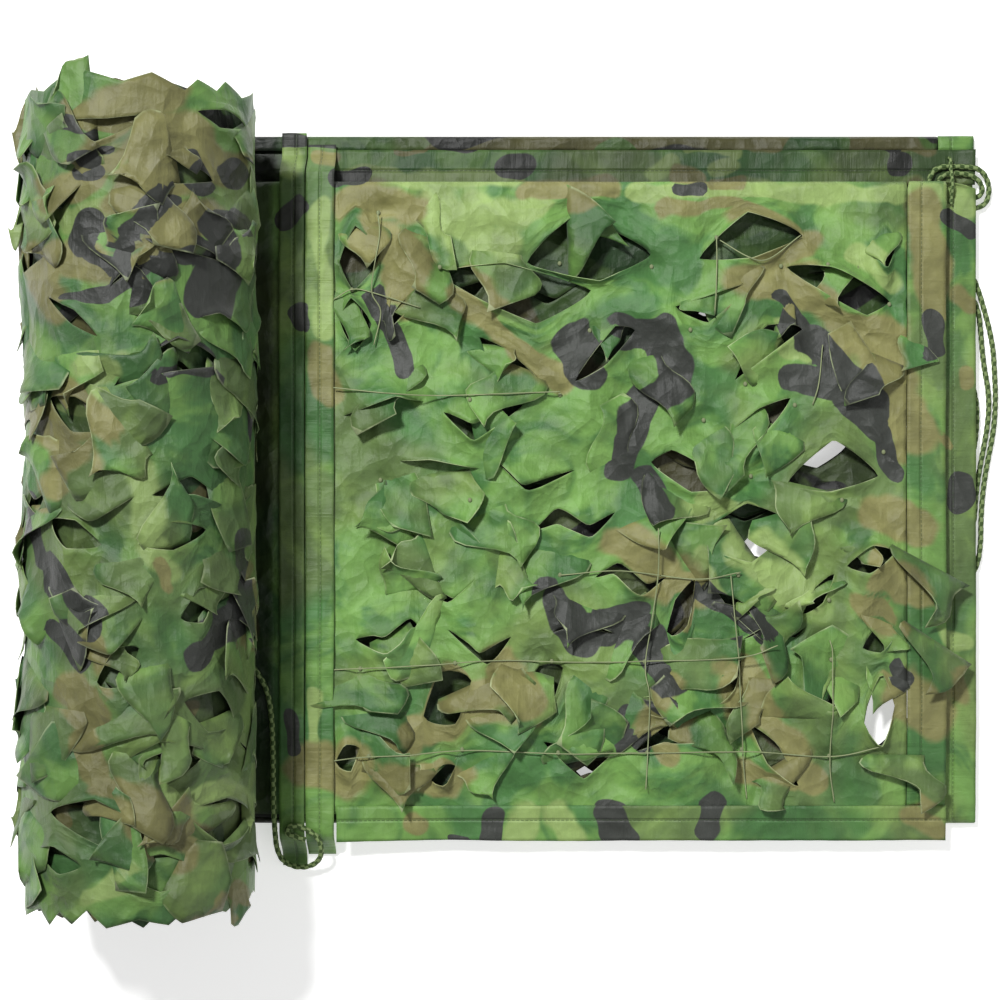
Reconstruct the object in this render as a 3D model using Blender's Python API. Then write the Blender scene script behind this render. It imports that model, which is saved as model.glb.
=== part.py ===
"""Camouflage net, partly unrolled: a wound roll of leaf-cut cloth and the run that leaves it.

The net is 2 m wide and is folded lengthwise in three before it is rolled. The roll lies along Y
on a small flat spot. The run leaves the roll's underside and lies towards +X: its lowest layer
is flat on the surface, the other two lie a little apart above it. Metres, +Z up, with the
origin at the middle of the footprint, on the surface.
"""
import math
import random

import bmesh
import bpy
from mathutils import Vector, noise

# Footprint
HALF_LENGTH = 0.440
HALF_WIDTH = 0.360

# The roll
ROLL_RADIUS = 0.1065
STACK = 0.0136
ROLL_AXIS_X = -0.3237
ROLL_FLAT_DEPTH = 0.0008
ROLL_AXIS_Z = ROLL_RADIUS - ROLL_FLAT_DEPTH
ROLL_HALF = 0.340
ROLL_COLUMNS = 46
ROLL_STATIONS = 34
ROLL_RINGS = 11
LEAF_LIFT = 0.0055
LEAF_HALF_LENGTH = 0.046
LEAF_HALF_WIDTH = 0.024
LEAF_ROWS = 13
LEAVES_ROUND = 9
SIDE_CREASE = 0.0025
SIDE_SETBACK = 0.002
SMOOTH_BELOW = (0.030, 0.075)

# The roll's ends: hollows between turns, ragged ridges of the turns, and standing leaf tips
END_RECESS = 0.007
HOLLOW_RAGGED = 0.002
OUTER_RIDGE = (0.006, 0.016)
INNER_RIDGE = (0.002, 0.008)
TIP_REACH = HALF_WIDTH - ROLL_HALF
TIP_SPREAD = 0.20

# The cloth and its three layers
CLOTH = 0.0016
TAPE = 0.0022
GAP = 0.0003
LAYER_Z = (CLOTH / 2, 0.013, 0.026)
MARGIN_Z = 0.0055
SQUEEZE = 0.38
SQUEEZED_LENGTH = 0.015
BACK_FOLD_Y = 0.342
FRONT_FOLD_Y = -0.299
TOP_FOLD_Y = 0.292
TAPE_WIDTH = 0.0330
BACK_TAPE_Y = (0.2980, 0.2980 + TAPE_WIDTH)
FRONT_TAPE_Y = (-0.3190, -0.3190 + TAPE_WIDTH)
FRONT_DROOP = 0.006
DROOP_START_Y = -0.245
CORNER_LENGTH = 0.016
CORNER_LIFT = 0.004
END_TAPE_GAP = 2 * GAP
FOLD_EXTRA_GAP = 8 * GAP
CRUMPLE = (0.0, 0.0015, 0.0032)
CRUMPLE_SCALE = 12.0
CRUMPLE_BLEND = 0.05

# Places along the run
RUN_START = ROLL_AXIS_X + 2 * GAP
FULL_HEIGHT_X = -0.2190
LEAF_START = -0.1620
TOP_CLOTH_END = 0.3710
TOP_TAPE_END = 0.4085
LOW_CLOTH_END = 0.4050
LOW_TAPE_END = 0.4400
PLAIN_COLUMNS = 4
LEAF_COLUMNS = 24

# Die-cut gaps, in the order of the layers from the lowest up
GAP_UNIT = 4
ROW_PITCH = (0.105, 0.105, 0.0525)
LIP_CLOSED = 0.0015
LIP_OPEN = (0.016, 0.016, 0.0120)
LIP_LIFT = (0.0, 0.0020, 0.0060)
LIP_SLIDE = 0.004
OPEN_VARIATION = 0.35
LIFT_VARIATION = 0.4
FAR_TIP_OPEN = 0.55
FAR_TIP_LIFT = -0.35

# The two tapes of the crosswise seam: left edge, right edge, front end, back end
SEAM_TAPES = {
    "seam_tape_left": (-0.2150, -0.1915, -0.3465, 0.3465),
    "seam_tape_right": (-0.1905, -0.1640, -0.3350, 0.3355),
}
SEAM_CLEARANCE = 0.0008
SEAM_BACK_BEND = (TOP_FOLD_Y + 0.011, TOP_FOLD_Y + 0.036)
SEAM_FRONT_BEND = (-0.3400, FRONT_FOLD_Y - 0.0095)
SEAM_BEND_LENGTH = 0.062

# Rope
ROPE = 0.0050
ROPE_STEP = 0.0135
HITCH_LOOP = 0.0036
HITCH_LOOP_STEP = 0.006

MATERIALS = {
    "leaf_cloth": ((0.118, 0.176, 0.064, 1), 0.62),
    "bound_edge": ((0.105, 0.190, 0.077, 1), 0.58),
    "rope": ((0.150, 0.205, 0.095, 1), 0.78),
}

# Routes of the rope, laid by hand from where it shows to where it is tucked between the layers
ROUTES = {
    "hitch_outer": [
        (0.3950, 0.2820, 0.0062), (0.3950, 0.2915, 0.0083), (0.3962, 0.3020, 0.0102),
        (0.4010, 0.3110, 0.0103), (0.4100, 0.3145, 0.0103), (0.4210, 0.3148, 0.0102),
        (0.4320, 0.3143, 0.0102), (0.4415, 0.3125, 0.0101), (0.4485, 0.3075, 0.0084),
        (0.4530, 0.2995, 0.0058), (0.4540, 0.2900, 0.0042), (0.4510, 0.2815, 0.0043),
        (0.4440, 0.2770, 0.0051), (0.4350, 0.2760, 0.0058), (0.4250, 0.2762, 0.0062),
    ],
    "hitch_inner": [
        (0.4030, 0.2810, 0.0062), (0.4030, 0.2905, 0.0080), (0.4045, 0.2995, 0.0098),
        (0.4095, 0.3060, 0.0101), (0.4180, 0.3082, 0.0102), (0.4270, 0.3080, 0.0102),
        (0.4360, 0.3060, 0.0101), (0.4432, 0.3010, 0.0092), (0.4468, 0.2950, 0.0072),
        (0.4458, 0.2890, 0.0060), (0.4405, 0.2862, 0.0058), (0.4330, 0.2860, 0.0061),
        (0.4240, 0.2866, 0.0062),
    ],
    "hank_outer": [
        (0.4210, 0.2260, 0.0056), (0.4300, 0.2200, 0.0054), (0.4385, 0.2105, 0.0052),
        (0.4442, 0.1980, 0.0044), (0.4500, 0.1805, 0.0028), (0.4550, 0.1615, 0.0026),
        (0.4585, 0.1420, 0.0026), (0.4600, 0.1200, 0.0026), (0.4608, 0.0980, 0.0026),
        (0.4600, 0.0760, 0.0026), (0.4575, 0.0570, 0.0026), (0.4538, 0.0380, 0.0026),
        (0.4506, 0.0190, 0.0026), (0.4484, 0.0000, 0.0026), (0.4472, -0.0200, 0.0026),
        (0.4465, -0.0400, 0.0032), (0.4435, -0.0580, 0.0049), (0.4370, -0.0720, 0.0053),
        (0.4280, -0.0770, 0.0055), (0.4205, -0.0710, 0.0056), (0.4180, -0.0560, 0.0056),
        (0.4180, -0.0300, 0.0056), (0.4200, -0.0050, 0.0056), (0.4260, 0.0160, 0.0055),
        (0.4350, 0.0330, 0.0053), (0.4405, 0.0530, 0.0052), (0.4425, 0.0760, 0.0051),
        (0.4415, 0.0950, 0.0051), (0.4370, 0.1110, 0.0053), (0.4290, 0.1210, 0.0055),
        (0.4190, 0.1260, 0.0056),
    ],
    "hank_inner": [
        (0.4220, 0.2060, 0.0056), (0.4310, 0.2000, 0.0054), (0.4392, 0.1895, 0.0052),
        (0.4440, 0.1770, 0.0046), (0.4465, 0.1620, 0.0030), (0.4482, 0.1430, 0.0026),
        (0.4505, 0.1240, 0.0026), (0.4535, 0.1060, 0.0026), (0.4545, 0.0880, 0.0026),
        (0.4530, 0.0700, 0.0027), (0.4500, 0.0520, 0.0030), (0.4465, 0.0340, 0.0036),
        (0.4434, 0.0170, 0.0046), (0.4415, 0.0000, 0.0051), (0.4400, -0.0170, 0.0052),
        (0.4370, -0.0320, 0.0054), (0.4315, -0.0370, 0.0055), (0.4268, -0.0310, 0.0056),
        (0.4270, -0.0190, 0.0056), (0.4310, -0.0060, 0.0055),
    ],
    "corner_rope": [
        (-0.2390, -0.1560, 0.0292), (-0.2335, -0.1640, 0.0300), (-0.2275, -0.1750, 0.0308),
        (-0.2235, -0.1900, 0.0310), (-0.2215, -0.2080, 0.0311), (-0.2207, -0.2280, 0.0311),
        (-0.2204, -0.2480, 0.0310), (-0.2202, -0.2680, 0.0308), (-0.2200, -0.2860, 0.0302),
        (-0.2195, -0.3010, 0.0288), (-0.2190, -0.3140, 0.0255), (-0.2180, -0.3260, 0.0215),
        (-0.2140, -0.3370, 0.0175), (-0.2055, -0.3440, 0.0140), (-0.1945, -0.3460, 0.0125),
        (-0.1840, -0.3425, 0.0150), (-0.1775, -0.3345, 0.0215), (-0.1760, -0.3235, 0.0290),
        (-0.1800, -0.3130, 0.0327), (-0.1880, -0.3070, 0.0333), (-0.1975, -0.3030, 0.0333),
        (-0.2055, -0.3045, 0.0332), (-0.2065, -0.3105, 0.0328), (-0.1990, -0.3135, 0.0324),
        (-0.1900, -0.3165, 0.0316),
    ],
}
HITCH_LOOP_ROUTE = [
    (0.4150, 0.3222, 0.0088), (0.4150, 0.3224, 0.0128), (0.4150, 0.3180, 0.0152),
    (0.4150, 0.3110, 0.0165), (0.4150, 0.3040, 0.0192), (0.4150, 0.2975, 0.0214),
    (0.4150, 0.2910, 0.0208), (0.4150, 0.2850, 0.0180), (0.4150, 0.2780, 0.0168),
]


def clear_scene():
    for item in list(bpy.data.objects):
        bpy.data.objects.remove(item, do_unlink=True)


def make_material(name):
    colour, roughness = MATERIALS[name]
    material = bpy.data.materials.new(name)
    material.use_nodes = True
    shader = material.node_tree.nodes["Principled BSDF"]
    shader.inputs["Base Color"].default_value = colour
    shader.inputs["Roughness"].default_value = roughness
    shader.inputs["Metallic"].default_value = 0.0
    material.diffuse_color = colour
    return material


def smooth(low, high, value):
    """0 below low, 1 above high, and a soft step between."""
    part = min(1.0, max(0.0, (value - low) / (high - low)))
    return part * part * (3 - 2 * part)


def add_object(name, mesh, material):
    item = bpy.data.objects.new(name, mesh)
    item.data.materials.append(material)
    bpy.context.scene.collection.objects.link(item)
    return item


def mesh_from(name, work):
    mesh = bpy.data.meshes.new(name)
    bmesh.ops.recalc_face_normals(work, faces=work.faces[:])
    work.to_mesh(mesh)
    work.free()
    return mesh


def thicken(item, thickness):
    """Gives an open sheet its thickness, half on each side."""
    modifier = item.modifiers.new("thickness", "SOLIDIFY")
    modifier.thickness = thickness
    modifier.offset = 0.0
    modifier.use_even_offset = False


# ---------------------------------------------------------------- the layers' shape

def crumple(layer, x, y):
    """Height of the soft creases of a layer over its plane."""
    place = Vector((x * CRUMPLE_SCALE, y * CRUMPLE_SCALE, 4.0 * layer + 1.3))
    return CRUMPLE[layer] * noise.noise(place) * smooth(LEAF_START, LEAF_START + CRUMPLE_BLEND, x)


def layer_height(layer_part, z, x, y):
    """Height at x and y of a point that lies at height z where the run is full.

    Near the roll the layers are pressed together. layer_part runs from 0 to 2 along the folds,
    so that the creases of neighbouring layers pass into each other round a fold.
    """
    squeeze = SQUEEZE + (1 - SQUEEZE) * smooth(RUN_START + SQUEEZED_LENGTH, FULL_HEIGHT_X, x)
    height = LAYER_Z[0] + (z - LAYER_Z[0]) * squeeze
    lower = min(1, int(layer_part))
    share = layer_part - lower
    height += (1 - share) * crumple(lower, x, y) + share * crumple(lower + 1, x, y)
    if layer_part > 1.5:
        droop = FRONT_DROOP * smooth(LEAF_START, LEAF_START + CRUMPLE_BLEND, x)
        height -= droop * (1 - smooth(FRONT_TAPE_Y[0], DROOP_START_Y, y))
    return height


def fold_arc(fold_y, side, lower, steps=4):
    """Lines round the fold between layer lower and the one above it."""
    radius = (LAYER_Z[lower + 1] - LAYER_Z[lower]) / 2
    middle = (LAYER_Z[lower + 1] + LAYER_Z[lower]) / 2
    lines = []
    for step in range(1, steps):
        turn = math.pi * step / steps
        lines.append({
            "y": fold_y + side * radius * math.sin(turn),
            "z": middle - radius * math.cos(turn),
            "part": lower + step / steps,
        })
    return lines


def layer_lines(layer, start_y, end_y, with_gaps):
    """Lines of one layer from start_y to end_y, with two lines for each row of gaps."""
    span = abs(end_y - start_y)
    rows = round(span / ROW_PITCH[layer])
    pitch = (end_y - start_y) / rows
    forward = math.copysign(1.0, pitch)
    lines = [{"y": start_y, "z": LAYER_Z[layer], "part": float(layer)}]
    for row in range(rows):
        middle = start_y + (row + 0.5) * pitch
        if not with_gaps:
            lines.append({"y": middle, "z": LAYER_Z[layer], "part": float(layer)})
            continue
        for lip in (-1, 1):
            lines.append({
                "y": middle + lip * forward * LIP_CLOSED,
                "z": LAYER_Z[layer],
                "part": float(layer),
                "row": row,
                "lip": lip,
                "forward": forward,
            })
    lines.append({"y": end_y, "z": LAYER_Z[layer], "part": float(layer)})
    return lines


def net_lines(with_gaps):
    """All lines across the cloth, from the turned-back edge to the front edge of the top layer."""
    turn_radius = (MARGIN_Z - LAYER_Z[0]) / 2
    lines = [
        {"y": BACK_TAPE_Y[1] + GAP, "z": MARGIN_Z, "part": 0.0},
        {"y": BACK_FOLD_Y, "z": MARGIN_Z, "part": 0.0},
        {"y": BACK_FOLD_Y + turn_radius, "z": MARGIN_Z - turn_radius, "part": 0.0},
    ]
    lines += layer_lines(0, BACK_FOLD_Y, FRONT_FOLD_Y, with_gaps)
    lines += fold_arc(FRONT_FOLD_Y, -1, 0)
    lines += layer_lines(1, FRONT_FOLD_Y, TOP_FOLD_Y, with_gaps)
    lines += fold_arc(TOP_FOLD_Y, 1, 1)
    lines += layer_lines(2, TOP_FOLD_Y, FRONT_TAPE_Y[1] + GAP, with_gaps)
    return lines


def end_of_line(line, top_end, low_end):
    """Where a line ends in X: the top layer lies a little short of the lower ones."""
    return low_end + (top_end - low_end) * smooth(1.0, 1.6, line["part"])


# ---------------------------------------------------------------- cloth of the run

def column_places(line):
    """X of each column of a line, from the roll to the bound end."""
    end = end_of_line(line, TOP_CLOTH_END, LOW_CLOTH_END)
    plain = [RUN_START + (LEAF_START - RUN_START) * n / PLAIN_COLUMNS for n in range(PLAIN_COLUMNS)]
    leafy = [LEAF_START + (end - LEAF_START) * n / LEAF_COLUMNS for n in range(LEAF_COLUMNS + 1)]
    return plain + leafy


def gap_column(row, column):
    """Place of a column in its row's gap: 0 and 3 are the gap's tips, None is between gaps."""
    leafy = column - PLAIN_COLUMNS - 1 - (GAP_UNIT // 2 if row % 2 else 0)
    if leafy < 0 or column > PLAIN_COLUMNS + LEAF_COLUMNS - 1:
        return None
    unit_start = PLAIN_COLUMNS + 1 + (GAP_UNIT // 2 if row % 2 else 0) + leafy // GAP_UNIT * GAP_UNIT
    if unit_start + GAP_UNIT - 1 > PLAIN_COLUMNS + LEAF_COLUMNS - 1:
        return None
    return leafy % GAP_UNIT


def gap_shift(line, column, wobble):
    """Sideways opening and lift of a lip at a column."""
    place = gap_column(line["row"], column) if "row" in line else None
    if place not in (1, 2):
        return 0.0, 0.0
    layer = int(line["part"])
    near_tip = (place == 1) == (line["lip"] > 0)
    opening = LIP_OPEN[layer] * (1.0 if near_tip else FAR_TIP_OPEN) * (1 + OPEN_VARIATION * wobble)
    lift = LIP_LIFT[layer] * (1.0 if near_tip else FAR_TIP_LIFT) * (1 + LIFT_VARIATION * wobble)
    return line["lip"] * line["forward"] * opening, lift


def make_run(material):
    """The folded cloth of the run: one sheet in three layers with its die-cut gaps."""
    draw = random.Random(21)
    lines = net_lines(with_gaps=True)
    work = bmesh.new()
    grid = []
    for line in lines:
        row = []
        for column, x in enumerate(column_places(line)):
            wobble = draw.uniform(-1, 1)
            slide = draw.uniform(-1, 1)
            shift, lift = gap_shift(line, column, wobble)
            x_place = x + (LIP_SLIDE * slide if shift else 0.0)
            y_place = line["y"] + shift
            z_place = layer_height(line["part"], line["z"], x_place, y_place) + lift
            row.append(work.verts.new((x_place, y_place, z_place)))
        grid.append(row)
    for index in range(len(grid) - 1):
        near, far = lines[index], lines[index + 1]
        in_gap_row = near.get("lip") == -1 and far.get("lip") == 1
        for column in range(len(grid[0]) - 1):
            if in_gap_row and gap_column(near["row"], column) in (0, 1, 2):
                continue
            work.faces.new((
                grid[index][column], grid[index][column + 1],
                grid[index + 1][column + 1], grid[index + 1][column],
            ))
    item = add_object("net_run", mesh_from("net_run", work), material)
    thicken(item, CLOTH)
    return item


# ---------------------------------------------------------------- bound edges

def make_strip(name, rows, material):
    """A tape from rows of points across it."""
    work = bmesh.new()
    grid = [[work.verts.new(point) for point in row] for row in rows]
    for index in range(len(grid) - 1):
        for column in range(len(grid[0]) - 1):
            work.faces.new((
                grid[index][column], grid[index][column + 1],
                grid[index + 1][column + 1], grid[index + 1][column],
            ))
    item = add_object(name, mesh_from(name, work), material)
    thicken(item, TAPE)
    return item


def make_end_tape(material):
    """The tape on the net's end, which goes round the folds with the three layers."""
    rows = []
    for line in net_lines(with_gaps=False):
        round_fold = math.sin(math.pi * (line["part"] % 1))
        inner = end_of_line(line, TOP_CLOTH_END, LOW_CLOTH_END)
        inner += END_TAPE_GAP + FOLD_EXTRA_GAP * round_fold
        outer = end_of_line(line, TOP_TAPE_END, LOW_TAPE_END)
        row = []
        for share in (0.0, 0.5, 1.0):
            x = inner + (outer - inner) * share
            lift = (TAPE - CLOTH) / 2 if line["part"] < 0.01 and line["z"] < MARGIN_Z / 2 else 0.0
            z = layer_height(line["part"], line["z"], inner, line["y"]) + lift
            row.append((x, line["y"], z))
        rows.append(row)
    return make_strip("tape_end", rows, material)


def make_front_tape(material):
    """The tape on the long edge of the top layer."""
    start, end, steps = LEAF_START + GAP, TOP_TAPE_END, 20
    rows = []
    for step in range(steps + 1):
        x = start + (end - start) * step / steps
        row = []
        for y in (FRONT_TAPE_Y[1], sum(FRONT_TAPE_Y) / 2, FRONT_TAPE_Y[0]):
            row.append((x, y, layer_height(2.0, LAYER_Z[2], min(x, TOP_CLOTH_END), y)))
        rows.append(row)
    return make_strip("tape_front", rows, material)


def make_back_tape(material):
    """The tape on the long edge of the lowest layer, turned back so that it lies face up."""
    start, end, steps = SEAM_TAPES["seam_tape_left"][0], LOW_TAPE_END - CORNER_LENGTH, 12
    places = [start + (end - start) * step / steps for step in range(steps + 1)]
    places += [LOW_TAPE_END - CORNER_LENGTH / 2, LOW_TAPE_END]
    rows = []
    for x in places:
        lift = CORNER_LIFT * smooth(end, LOW_TAPE_END, x)
        rows.append([
            (x, BACK_TAPE_Y[0], MARGIN_Z),
            (x, sum(BACK_TAPE_Y) / 2, MARGIN_Z),
            (x, BACK_TAPE_Y[1], MARGIN_Z + lift),
        ])
    return make_strip("tape_back", rows, material)


def seam_height(x, y):
    """Height of a seam tape's middle: on the top layer, and down over its fold and front edge."""
    on_top = layer_height(2.0, LAYER_Z[2], x, y) + (CLOTH + TAPE) / 2 + SEAM_CLEARANCE
    on_back = MARGIN_Z + TAPE + SEAM_CLEARANCE
    on_surface = TAPE / 2 + GAP
    back_share = smooth(*SEAM_BACK_BEND, y)
    front_share = 1 - smooth(*SEAM_FRONT_BEND, y)
    height = on_top + (on_back - on_top) * back_share
    return height + (on_surface - height) * front_share


def seam_places(front, back):
    """Places along a seam tape: close together where it bends down at its ends."""
    bend, fine, coarse = SEAM_BEND_LENGTH, 8, 12
    places = [front + bend * n / fine for n in range(fine)]
    places += [front + bend + (back - front - 2 * bend) * n / coarse for n in range(coarse)]
    places += [back - bend + bend * n / fine for n in range(fine + 1)]
    return places


def make_seam_tape(name, material):
    left, right, front, back = SEAM_TAPES[name]
    rows = []
    for y in seam_places(front, back):
        height = seam_height((left + right) / 2, y)
        rows.append([(x, y, height) for x in (left, (left + right) / 2, right)])
    return make_strip(name, rows, material)


# ---------------------------------------------------------------- the roll

def leaf_table():
    """Leaves round the roll: turn and place of each one's middle, its slope and its lift."""
    draw = random.Random(5)
    leaves = []
    for row in range(LEAF_ROWS):
        for step in range(LEAVES_ROUND):
            leaves.append({
                "turn": 2 * math.pi * (step + 0.5 * (row % 2) + draw.uniform(-0.15, 0.15)) / LEAVES_ROUND,
                "y": ROLL_HALF * (2 * (row + 0.5 + draw.uniform(-0.2, 0.2)) / LEAF_ROWS - 1),
                "slope": math.radians(draw.uniform(-32, 32)),
                "lift": LEAF_LIFT * draw.uniform(0.5, 1.3),
            })
    return leaves


def leaf_relief(leaves, turn, y):
    """Height of the leaves over the wound form: each one rises to its free edge."""
    height = 0.0
    for leaf in leaves:
        along = (turn - leaf["turn"] + math.pi) % (2 * math.pi) - math.pi
        along *= ROLL_RADIUS
        across = y - leaf["y"]
        if abs(along) > 1.2 * LEAF_HALF_LENGTH or abs(across) > 1.2 * LEAF_HALF_LENGTH:
            continue
        cosine, sine = math.cos(leaf["slope"]), math.sin(leaf["slope"])
        lengthwise = (along * cosine + across * sine) / LEAF_HALF_LENGTH
        crosswise = (across * cosine - along * sine) / LEAF_HALF_WIDTH
        if abs(lengthwise) + abs(crosswise) < 1:
            height = max(height, leaf["lift"] * (0.6 - 0.4 * crosswise))
    return height


# Leaf tips that stand out from the roll: turn in degrees from the bottom, place along Y, reach
ROLL_TIPS = [
    {"turn": 96, "y": 0.262, "reach": 0.0165},
    {"turn": 84, "y": 0.190, "reach": 0.0110},
    {"turn": 98, "y": 0.228, "reach": 0.0100},
    {"turn": 88, "y": 0.100, "reach": 0.0070},
    {"turn": 92, "y": -0.010, "reach": 0.0070},
    {"turn": 82, "y": -0.105, "reach": 0.0090},
    {"turn": 95, "y": -0.205, "reach": 0.0085},
    {"turn": 88, "y": -0.262, "reach": 0.0110},
    {"turn": 255, "y": -0.236, "reach": 0.0070},
    {"turn": 258, "y": 0.120, "reach": 0.0060},
]

# Leaf tips that stand out at the roll's ends: end (-1 front, 1 back), column of the turn, reach
END_TIPS = [
    {"end": 1, "column": 22, "reach": TIP_REACH},
    {"end": 1, "column": 19, "reach": 0.017},
    {"end": 1, "column": 15, "reach": 0.013},
    {"end": 1, "column": 12, "reach": 0.015},
    {"end": -1, "column": 30, "reach": TIP_REACH},
    {"end": -1, "column": 26, "reach": 0.016},
    {"end": -1, "column": 22, "reach": 0.013},
    {"end": -1, "column": 18, "reach": 0.017},
    {"end": -1, "column": 13, "reach": 0.012},
    {"end": -1, "column": 33, "reach": 0.014},
]

# The pocket at the back end, where the outer turn stands off the roll: its turns in degrees, how
# far each of the end's rings lies back in it, how far the outer turn bulges, and its soft edge
POCKET_TURN = (205, 268)
POCKET_CUT = (0.010, 0.032, 0.032, 0.016, 0.0)
POCKET_BULGE = 0.006
POCKET_EDGE = 0.35


def in_pocket(turn):
    low, high = (math.radians(angle) for angle in POCKET_TURN)
    return smooth(low, low + POCKET_EDGE, turn) * (1 - smooth(high - POCKET_EDGE, high, turn))


def roll_point(radius, turn, y):
    """A point on the roll's section: turn 0 is the bottom and the turn goes over by -X."""
    x = ROLL_AXIS_X - radius * math.sin(turn)
    z = ROLL_AXIS_Z - radius * math.cos(turn)
    return (x, y, max(0.0, z))


def roll_radius(turn, depth):
    """Radius of the wound form: it falls by one stack for each turn."""
    return ROLL_RADIUS - STACK * turn / (2 * math.pi) - depth * STACK / 2


def side_radius(leaves, turn, y, back_share):
    """Radius of the roll's leafy side."""
    radius = roll_radius(turn, 0)
    height = ROLL_AXIS_Z - radius * math.cos(turn)
    crease = SIDE_CREASE * noise.noise(Vector((turn * 2.1, y * 14, 0.7)))
    relief = leaf_relief(leaves, turn, y) + crease - SIDE_SETBACK
    radius += relief * smooth(*SMOOTH_BELOW, height)
    radius += POCKET_BULGE * in_pocket(turn) * back_share
    return radius


def end_reach(side, turn, depth):
    """How far a turn's edge stands out at a roll's end: ragged with leaf tips."""
    ridge = depth % 2 == 0
    ragged = noise.noise(Vector((3.0 * turn + 1.9 * depth, 5.0 * side, 0.37 * depth)))
    if ridge:
        middle, variation = OUTER_RIDGE if depth == 0 else INNER_RIDGE
        reach = middle + variation * ragged
    else:
        reach = -END_RECESS + HOLLOW_RAGGED * ragged
    if side > 0:
        reach -= POCKET_CUT[min(depth, len(POCKET_CUT) - 1)] * in_pocket(turn)
    if depth == 0:
        for tip in END_TIPS:
            apart = abs(turn - 2 * math.pi * tip["column"] / ROLL_COLUMNS) / TIP_SPREAD
            if tip["end"] == side and apart < 1:
                reach = max(reach, tip["reach"] * (1 - apart) + reach * apart)
    return min(TIP_REACH, reach)


def make_roll(material):
    """The wound form: a spiral section along Y, leafy on its side, with its turns at each end."""
    leaves = leaf_table()
    work = bmesh.new()
    turns = [2 * math.pi * n / ROLL_COLUMNS for n in range(ROLL_COLUMNS + 1)]

    def end_grid(side):
        """Vertices of one end by depth and column; a turn's end is the start of the next but one."""
        grid = [[None] * (ROLL_COLUMNS + 1) for _ in range(ROLL_RINGS + 1)]
        for depth in range(ROLL_RINGS + 1):
            for column, turn in enumerate(turns[:-1]):
                y = side * (ROLL_HALF + end_reach(side, turn, depth))
                radius = roll_radius(turn, depth)
                if depth == 0:
                    radius = side_radius(leaves, turn, side * ROLL_HALF, 1.0 if side > 0 else 0.0)
                grid[depth][column] = work.verts.new(roll_point(radius, turn, y))
        for depth in range(ROLL_RINGS - 1):
            grid[depth][-1] = grid[depth + 2][0]
        return grid

    def close_end(grid):
        last = ROLL_RINGS
        for depth in range(last):
            for column in range(ROLL_COLUMNS):
                if grid[depth][column + 1] is None or grid[depth + 1][column + 1] is None:
                    continue
                work.faces.new((
                    grid[depth][column], grid[depth][column + 1],
                    grid[depth + 1][column + 1], grid[depth + 1][column],
                ))
        rim = [grid[last][column] for column in range(ROLL_COLUMNS)]
        rim += [grid[last - 1][ROLL_COLUMNS - 1], grid[last - 2][ROLL_COLUMNS - 1]]
        middle = sum((vertex.co for vertex in rim), Vector()) / len(rim)
        hub = work.verts.new(middle)
        for index, vertex in enumerate(rim):
            following = rim[(index + 1) % len(rim)]
            work.faces.new((vertex, following, hub))

    ends = {side: end_grid(side) for side in (-1, 1)}
    for grid in ends.values():
        close_end(grid)

    # the side: columns round the spiral, with the step where the run leaves closed by a middle one
    rings = [list(ends[-1][0]) + [ends[-1][1][0]]]
    for station in range(1, ROLL_STATIONS):
        y = ROLL_HALF * (2 * station / ROLL_STATIONS - 1)
        back_share = smooth(ROLL_HALF - 0.09, ROLL_HALF, y)
        ring = []
        for turn in turns:
            ring.append(work.verts.new(roll_point(side_radius(leaves, turn, y, back_share), turn, y)))
        ring.append(work.verts.new(roll_point(roll_radius(0, 1), 0, y)))
        rings.append(ring)
    rings.append(list(ends[1][0]) + [ends[1][1][0]])
    for near, far in zip(rings, rings[1:]):
        for column in range(len(near)):
            after = (column + 1) % len(near)
            work.faces.new((near[column], near[after], far[after], far[column]))

    push_tips(work)
    item = add_object("net_roll", mesh_from("net_roll", work), material)
    return item


def push_tips(work):
    """Draws the nearest point of the side out to each standing leaf tip."""
    for tip in ROLL_TIPS:
        turn = math.radians(tip["turn"])
        goal = Vector(roll_point(roll_radius(turn, 0), turn, tip["y"]))
        nearest = min(work.verts, key=lambda vertex: (vertex.co - goal).length)
        outward = Vector((-math.sin(turn), 0, -math.cos(turn)))
        nearest.co += outward * tip["reach"]
        nearest.co.x = max(nearest.co.x, -HALF_LENGTH)


# ---------------------------------------------------------------- rope

def smooth_route(points, step):
    """Points at even steps on the smooth curve through a route's own points."""
    places = [Vector(point) for point in points]
    padded = [places[0] * 2 - places[1]] + places + [places[-1] * 2 - places[-2]]
    dense = []
    for index in range(1, len(padded) - 2):
        before, start, end, after = padded[index - 1:index + 3]
        for part in range(12):
            t = part / 12
            dense.append(0.5 * (
                2 * start + (end - before) * t
                + (2 * before - 5 * start + 4 * end - after) * t ** 2
                + (3 * start - before - 3 * end + after) * t ** 3
            ))
    dense.append(places[-1])
    length = sum((b - a).length for a, b in zip(dense, dense[1:]))
    count = max(4, round(length / step))
    result, travelled, target = [dense[0]], 0.0, length / count
    for a, b in zip(dense, dense[1:]):
        span = (b - a).length
        while travelled + span >= target - 1e-9 and len(result) < count:
            share = (target - travelled) / span
            result.append(a.lerp(b, share))
            target += length / count
        travelled += span
    result.append(dense[-1])
    return result


def make_rope(name, points, diameter, step, material):
    curve = bpy.data.curves.new(name, "CURVE")
    curve.dimensions = "3D"
    curve.bevel_depth = diameter / 2
    curve.bevel_resolution = 2
    curve.use_fill_caps = True
    route = smooth_route(points, step)
    spline = curve.splines.new("POLY")
    spline.points.add(len(route) - 1)
    for point, place in zip(spline.points, route):
        point.co = (*place, 1.0)
    return add_object(name, curve, material)


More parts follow.
